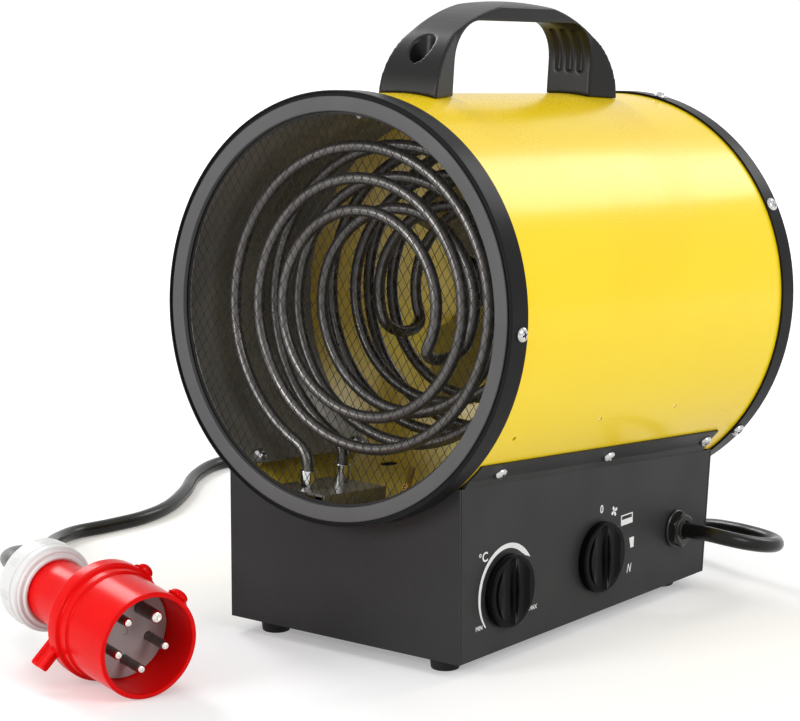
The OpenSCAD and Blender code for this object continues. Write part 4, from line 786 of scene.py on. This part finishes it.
def makeDial(name, look, y, node, body):
    r, low, front, top = look["radius"], look["gap"], look["front"], look["lensTop"]
    knob = spun(name, [(0, low), (r - 0.3, low), (r, low + 0.3), (r, front - 1.3), (r - 0.2, front - 0.6),
                       (r - 0.6, front - 0.2), (r - 1.2, front), (0, front)], 128)
    long, wide = look["lensLength"], look["lensWidth"]
    sweep = (long ** 2 + wide ** 2) / (4 * wide)
    shift = sweep - wide / 2
    spread = 180 / pi * atan2(long / 2, shift)
    outline = arcPoints((-shift, 0), sweep, -spread, spread, 32)[:-1]
    outline += arcPoints((shift, 0), sweep, 180 - spread, 180 + spread, 32)[:-1]
    lens = softEdges(slab("lens", outline, low + 0.5, top), 0.4, 3)
    for side in (-1, 1):  # a finger scoop on each side of the ribs
        scoop = rod("scoop", look["scoop"], -long, long, 128)
        placed(scoop, moved(side * look["scoopAt"], 0, look["scoopFloor"] + look["scoop"]) @ turned(90, "X"))
        cut(lens, scoop)
    half = look["rib"] / 2
    reach = sqrt(sweep ** 2 - (shift + look["ribAt"] + half) ** 2) - 0.5
    ribs = [softEdges(block("rib", (x - half, -reach, low + 0.5), (x + half, reach, look["ribTop"])), 0.6, 3)
            for x in (-look["ribAt"], look["ribAt"])]
    finished(joined(name, [knob, lens] + ribs), panelFrame(y), "dialPlastic", node, body)


makeDial("thermostatKnob", dial, dial["thermostatY"], "thermostat_knob", "thermostat_dial")
makeDial("modeKnob", dial, dial["modeY"], "mode_knob", "mode_dial")

# arcWidths: turn from straight up and width there; words: text, dial, place and height
marks = {"lift": 0.05, "arcRadius": 25.6,
         "arcWidths": ((-131, 0.9), (-90, 2.1), (-40, 2.4), (0, 2.6), (37, 3.2), (47, 2.6), (56.5, 0.2)),
         "words": (("MIN", "thermostat", (-24.8, -15.7), 2.5), ("MAX", "thermostat", (24.4, -15.2), 2.5),
                   ("C", "thermostat", (-19.7, 22.1), 5.4), ("0", "mode", (2.8, 26.1), 4.7)),
         "letterWeight": 0.022, "degree": (-24, 24), "fan": (15.3, 22.7), "half": (28, 15.6),
         "full": (33, 1.1), "zigzag": (30.8, -13.3)}


def flatShape(name, outlines, place):  # filled outlines on the panel
    curve = bpy.data.curves.new(name, "CURVE")
    curve.dimensions = "2D"
    curve.fill_mode = "BOTH"
    for outline in outlines:
        spline = curve.splines.new("POLY")
        spline.points.add(len(outline) - 1)
        spline.use_cyclic_u = True
        for point, (x, y) in zip(spline.points, outline):
            point.co = (x, y, 0, 1)
    linked(name, curve)
    bpy.ops.object.convert(target="MESH")
    return placed(bpy.context.object, place)


def makeMarks(look):
    pieces = {"thermostat": [], "mode": []}

    def draw(dialName, outlines, x=0, y=0):
        pieces[dialName].append(flatShape("mark", outlines, moved(x, y, look["lift"])))

    outer, inner = [], []
    for (first, wide), (last, wideLast) in zip(look["arcWidths"], look["arcWidths"][1:]):
        for i in range(13):
            share = i / 12
            turn, width = first + (last - first) * share, wide + (wideLast - wide) * share
            outer.append(polar(look["arcRadius"], 90 - turn))
            inner.append(polar(look["arcRadius"] - width, 90 - turn))
    draw("thermostat", [outer + inner[::-1]])
    draw("thermostat", [arcPoints((0, 0), r, 0, 345, 23) for r in (1.05, 0.5)], *look["degree"])
    for word, dialName, (x, y), height in look["words"]:
        noneSelected()
        bpy.ops.object.text_add()
        text = bpy.context.object
        text.data.body = word
        text.data.offset = look["letterWeight"]
        text.data.align_x = text.data.align_y = "CENTER"
        bpy.ops.object.convert(target="MESH")
        text = bpy.context.object
        size = height / text.dimensions.y
        pieces[dialName].append(placed(text, moved(x, y, look["lift"]) @ Matrix.Diagonal((size, size, 1, 1))))
    blade = [(0.1, 0.1), (0.9, -0.2), (2.1, -0.1), (2.9, 0.6), (2.8, 1.5), (1.9, 1.9), (0.8, 1.4)]
    turnedBlades = [[(x * c - y * s, x * s + y * c) for x, y in blade]
                    for c, s in (polar(1, quarter * 90) for quarter in range(4))]
    draw("mode", turnedBlades, *look["fan"])
    draw("mode", [[(-5.9, -3), (5.9, -3), (5.9, 3), (-5.9, 3)], [(-5, 0.3), (5, 0.3), (5, 2.3), (-5, 2.3)]],
         *look["half"])
    draw("mode", [[(-0.9, -3), (2.2, -3), (2.5, 3), (-2.4, 3)]], *look["full"])
    draw("mode", [[(-2.3, -2.5), (-1.7, -2.5), (-0.5, 1.2), (0.7, -2.5), (1.3, -2.5), (2.5, 2.5), (1.9, 2.5),
                   (0.9, -1.0), (-0.3, 2.5), (-0.9, 2.5)]], *look["zigzag"])
    for dialName, parts in pieces.items():
        finished(joined(dialName + "Marks", parts), panelFrame(dial[dialName + "Y"]), "markPaint")


makeMarks(marks)
print("dials and marks made")


# cable gland

gland = {"y": 75, "collarRadius": 10.8, "collar": 2, "thread": 8, "inside": 12, "threadEnd": 4.4,
         "nutRadius": 10.4, "nutEnd": 7, "cord": 4.4}


def makeGland(look):
    r, collar, thread, cord = look["collarRadius"], look["collar"], look["thread"], look["cord"]
    low, high = -look["inside"], look["threadEnd"]
    body = spun("cableGland", [(cord, low), (thread - 0.5, low), (thread, low + 0.5), (thread, 0),
                               (r - 0.2, 0), (r, 0.3), (r, collar - 0.5), (r - 0.5, collar),
                               (thread, collar), (thread, high), (cord, high), (cord, low)], 72)
    finished(body, panelFrame(look["y"]), "glandPlastic", "cable_gland")
    n, end = look["nutRadius"], look["nutEnd"]
    nut = spun("glandNut", [(cord, high), (thread + 0.1, high), (thread + 0.1, collar), (n + 0.2, collar),
                            (n + 0.2, end - 1.9), (n - 0.5, end - 1.3), (n - 1.2, end - 1),
                            (n - 1.7, end - 0.9), (n - 1.8, end - 0.3), (n - 2.2, end), (cord + 1.7, end),
                            (cord + 1.2, end - 0.4), (cord + 1, end - 1.8), (cord, end - 2),
                            (cord, high)])
    cut(nut, rod("flats", n, collar - 1, end + 1, 6), "INTERSECT")
    softEdges(nut, 0.25)
    finished(nut, panelFrame(look["y"]), "glandPlastic", "gland_nut")


makeGland(gland)
print("gland made")


# heating elements and what stands round them

elements = {"coil": 86, "pitch": 17, "halves": 5, "rest": 45, "turn": 200, "legTurns": (245, 243),
            "legBend": 14, "layerGap": 34, "hook": 9, "starts": ((-118, 1), (-34, -1)), "tube": 3.25,
            "legFoot": -110.3}


def layerLine(look, legTurn):  # one layer of turns from its leg to its inner end
    shift = polar(look["pitch"] / 2, look["turn"] - 180)
    bend = polar(look["coil"] + look["legBend"], legTurn)
    line = [(bend[0] + look["legBend"], look["legFoot"])]
    line += arcPoints(bend, look["legBend"], 0, legTurn - 180, 14)
    for k in range(look["halves"] + 1):
        begin = look["turn"] - 180 * (k % 2)
        start, end = begin if k else legTurn, begin - (180 if k < look["halves"] else look["rest"])
        centre = shift if k % 2 else (0, 0)
        radius = look["coil"] - k * look["pitch"] / 2
        line += arcPoints(centre, radius, start, end, round((start - end) / 5))[1:]
    return line


def elementLine(look, y, side):  # the second element is the mirror image of the first
    front, rear = layerLine(look, look["legTurns"][0]), layerLine(look, look["legTurns"][1])
    gap = look["layerGap"]
    innerTurn = look["turn"] - 180 * (look["halves"] % 2) - look["rest"]
    ahead = sin(radians(innerTurn)), -cos(radians(innerTurn))
    line = [(side * x, y, z) for x, z in front]
    inner = front[-1]
    for a in range(10, 180, 10):
        out = look["hook"] * sin(radians(a))
        line.append((side * (inner[0] + out * ahead[0]), y + gap / 2 * (1 - cos(radians(a))),
                     inner[1] + out * ahead[1]))
    return line + [(side * x, y + gap, z) for x, z in reversed(rear)]


for i, (y, side) in enumerate(elements["starts"]):
    element = tubes(f"heatingElement{i + 1}", [elementLine(elements, y, side)], elements["tube"], 5)
    finished(element, drumFrame, "elementSheath", f"heating_element_{i + 1}", smooth=50)

liner = {"radius": 104.2, "wall": 0.8, "front": -135.4, "rear": -30.4, "open": 60}


def makeLiner(look):
    r, front, rear = look["radius"], look["front"], look["rear"]
    inner, middle = r - look["wall"], r - look["wall"] / 2
    sheet = spun("innerLiner", [(inner, front + 0.6), (middle, front), (r, front + 0.6), (r, rear - 0.4),
                                (middle, rear), (inner, rear - 0.4), (inner, front + 0.6)],
                 150, 360 - look["open"])
    placed(sheet, alongDrum @ turned(90 - look["open"] / 2, "Z"))
    finished(sheet, drumFrame, "heatedSheet", "inner_liner")


makeLiner(liner)

outletMesh = {"y": -136.7, "wire": 0.17, "width": 5.6, "height": 8.8, "reach": 103.4, "rimIn": 103,
              "rimOut": 112.9}
rim = {"thickness": 1, "edge": 0.2}


def makeRim(low, high, y, steps):  # the flat ring round a mesh or guard
    thick, edge = rim["thickness"], rim["edge"]
    flat = spun("rim", [(low, edge), (low + edge, 0), (high, 0), (high, thick), (low + edge, thick),
                        (low, thick - edge), (low, edge)], steps)
    return placed(flat, moved(0, y, 0) @ alongDrum)


def makeMesh(look):
    lean = 180 / pi * atan(look["width"] / look["height"])
    step = look["width"] * cos(radians(lean))
    lines = []
    for side in (-1, 1):
        alongX, alongZ = polar(1, 90 + side * lean)
        acrossX, acrossZ = polar(1, side * lean)
        count = int(look["reach"] / step)
        for i in range(-count, count + 1):
            d = i * step
            reach = sqrt(look["reach"] ** 2 - d * d)
            y = look["y"] + rim["thickness"] / 2 + side * look["wire"] * 0.9
            lines.append([(acrossX * d + s * alongX, y, acrossZ * d + s * alongZ) for s in (-reach, reach)])
    wires = tubes("outletMesh", lines, look["wire"], 1)
    flat = makeRim(look["rimIn"], look["rimOut"], look["y"], 160)
    finished(joined("outletMesh", [wires, flat]), drumFrame, "meshWire", "outlet_grille")


makeMesh(outletMesh)
print("elements, liner and mesh made")


# inlet guard

inletGuard = {"y": 135.45, "rimY": 135.7, "wire": 1.25, "rim": 8, "radius": 112.9, "hub": 16, "spokes": 8,
              "step": 10, "weld": 0.2}


def makeGuard(look):
    parts = []
    w, hub, radius = look["wire"], look["hub"], look["radius"]
    count = int((radius - look["step"] / 2 - hub) / look["step"] + 0.001)
    for i in range(1, count + 1):
        noneSelected()
        bpy.ops.mesh.primitive_torus_add(major_segments=128, minor_segments=10, minor_radius=w,
                                         major_radius=hub + i * look["step"],
                                         location=(0, 0, look["weld"] - 2 * w))
        parts.append(placed(bpy.context.object, Matrix.Identity(4)))
    parts.append(spun("hub", [(0, -w / 2), (hub - 0.4, -w / 2), (hub, -0.2), (hub, 0.3), (hub - 0.5, w / 2),
                              (0, w / 2)], 64))
    for i in range(look["spokes"]):
        spoke = rod("spoke", w, hub - 1, radius - look["rim"] / 2, 12)
        parts.append(placed(spoke, turned(i * 360 / look["spokes"], "Z") @ turned(90, "Y")))
    guard = placed(joined("inletGuard", parts), moved(0, look["y"], 0) @ alongDrum)
    flat = makeRim(radius - look["rim"], radius, look["rimY"], 128)
    finished(joined("inletGuard", [guard, flat]), drumFrame, "meshWire", "inlet_guard")


makeGuard(inletGuard)
print("guard made")


# smaller parts of the inside, as the CAD has them with their edges broken

for node, name, width, finish in (("fan_rotor", "fanRotor", 0.3, "castAluminium"),
                                  ("fan_motor", "fanMotor", 0.5, "motorSteel"),
                                  ("motor_bracket", "motorBracket", 0.3, "zincPlate"),
                                  ("terminal_plate", "terminalPlate", 0.25, "heatedSheet"),
                                  ("element_sleeves", "elementSleeves", 0.3, "chromeScrew"),
                                  ("fan_nut", "fanNut", 0.3, "zincPlate")):
    refined(node, name, width, finish)

leads = {"start": (51.5, 75, 40), "ring": 2.6, "poles": ((18, 40), (18, 50), (18, 60), (18, 70), (18, 80)),
         "poleZ": 16.3, "radius": 1.2, "bow": 0.45}


def makeLeads(look):  # the cord's end inside the base, and its five cores
    start = Vector(look["start"])
    lines = []
    for i, (x, y) in enumerate(look["poles"]):
        across, up = polar(look["ring"], 72 * i)
        first = start + Vector((1, across, up))
        last = Vector((x, y, look["poleZ"]))
        bow = Vector((look["bow"] * (first.x - last.x), 0, 0))
        lines.append(bezierPoints(first, first - bow, last + bow, last, 20))
    cores = tubes("internalLeads", lines, look["radius"], 4)
    sheath = rod("sheath", supplyCord["diameter"] / 2, 0, supplyCord["exit"][0] - start.x)
    placed(sheath, moved(*start) @ turned(90, "Y"))
    finished(joined("internalLeads", [cores, softEdges(sheath, 0.3)]), floorFrame, "leadRubber",
             "internal_leads")


makeLeads(leads)
print("inside made")


# floor, light and background

# each lamp: name, place, aim, size and power
studio = {"floorShade": 0.78, "floorSize": 24, "glowNear": 0.31, "glowFar": 0.62, "near": 0.45, "far": 1.3,
          "ambient": 0.5, "lamps": (("back", (0.5, 2.1, 1.5), (0, 0, 0.2), 1.0, 13),
                                    ("left", (-1.9, 0.7, 1.7), (0, 0, 0.1), 0.9, 24),
                                    ("front", (-0.8, -2.1, 0.8), (0, 0, 0.15), 1.0, 26),
                                    ("side", (2.0, -0.3, 1.3), (0, 0, 0.15), 1.1, 19))}


def makeStudio(look):
    noneSelected()
    bpy.ops.mesh.primitive_plane_add(size=look["floorSize"])
    floor = bpy.context.object
    floor.name = "floor"
    paper = Finish(bpy.data.materials.new("paper"))
    # the floor's glow is weaker near the object, a painted shade round it that lets its shadows read darker,
    # and white far off
    away = paper.node("VectorMath", {"operation": "LENGTH"}, {0: paper.place()}, 1)
    share = paper.ramp(away, look["near"], look["far"])
    strength = paper.seenRays() * (share * (look["glowFar"] - look["glowNear"]) + look["glowNear"])
    glow = paper.node("Emission", inputs={"Color": (1, 1, 1), "Strength": strength})
    matt = paper.node("BsdfDiffuse", inputs={"Color": [look["floorShade"]] * 3})
    floor.data.materials.append(paper.surface(paper.node("AddShader", inputs={0: matt, 1: glow})))

    world = bpy.data.worlds.new("studio")
    bpy.context.scene.world = world
    sky = Finish(world, "OutputWorld")
    strength = sky.seenRays() * (1 - look["ambient"]) + look["ambient"]
    sky.surface(sky.node("Background", inputs={"Color": (1, 1, 1), "Strength": strength}))

    for name, place, aim, size, power in look["lamps"]:
        bpy.ops.object.light_add(type="AREA", location=place)
        lamp = bpy.context.object
        lamp.name = name
        lamp.data.shape = "DISK"
        lamp.data.size = size
        lamp.data.energy = power
        lamp.rotation_euler = (Vector(aim) - Vector(place)).to_track_quat("-Z", "Y").to_euler()
    bpy.context.scene.view_settings.view_transform = "Standard"


makeStudio(studio)
print("studio set")
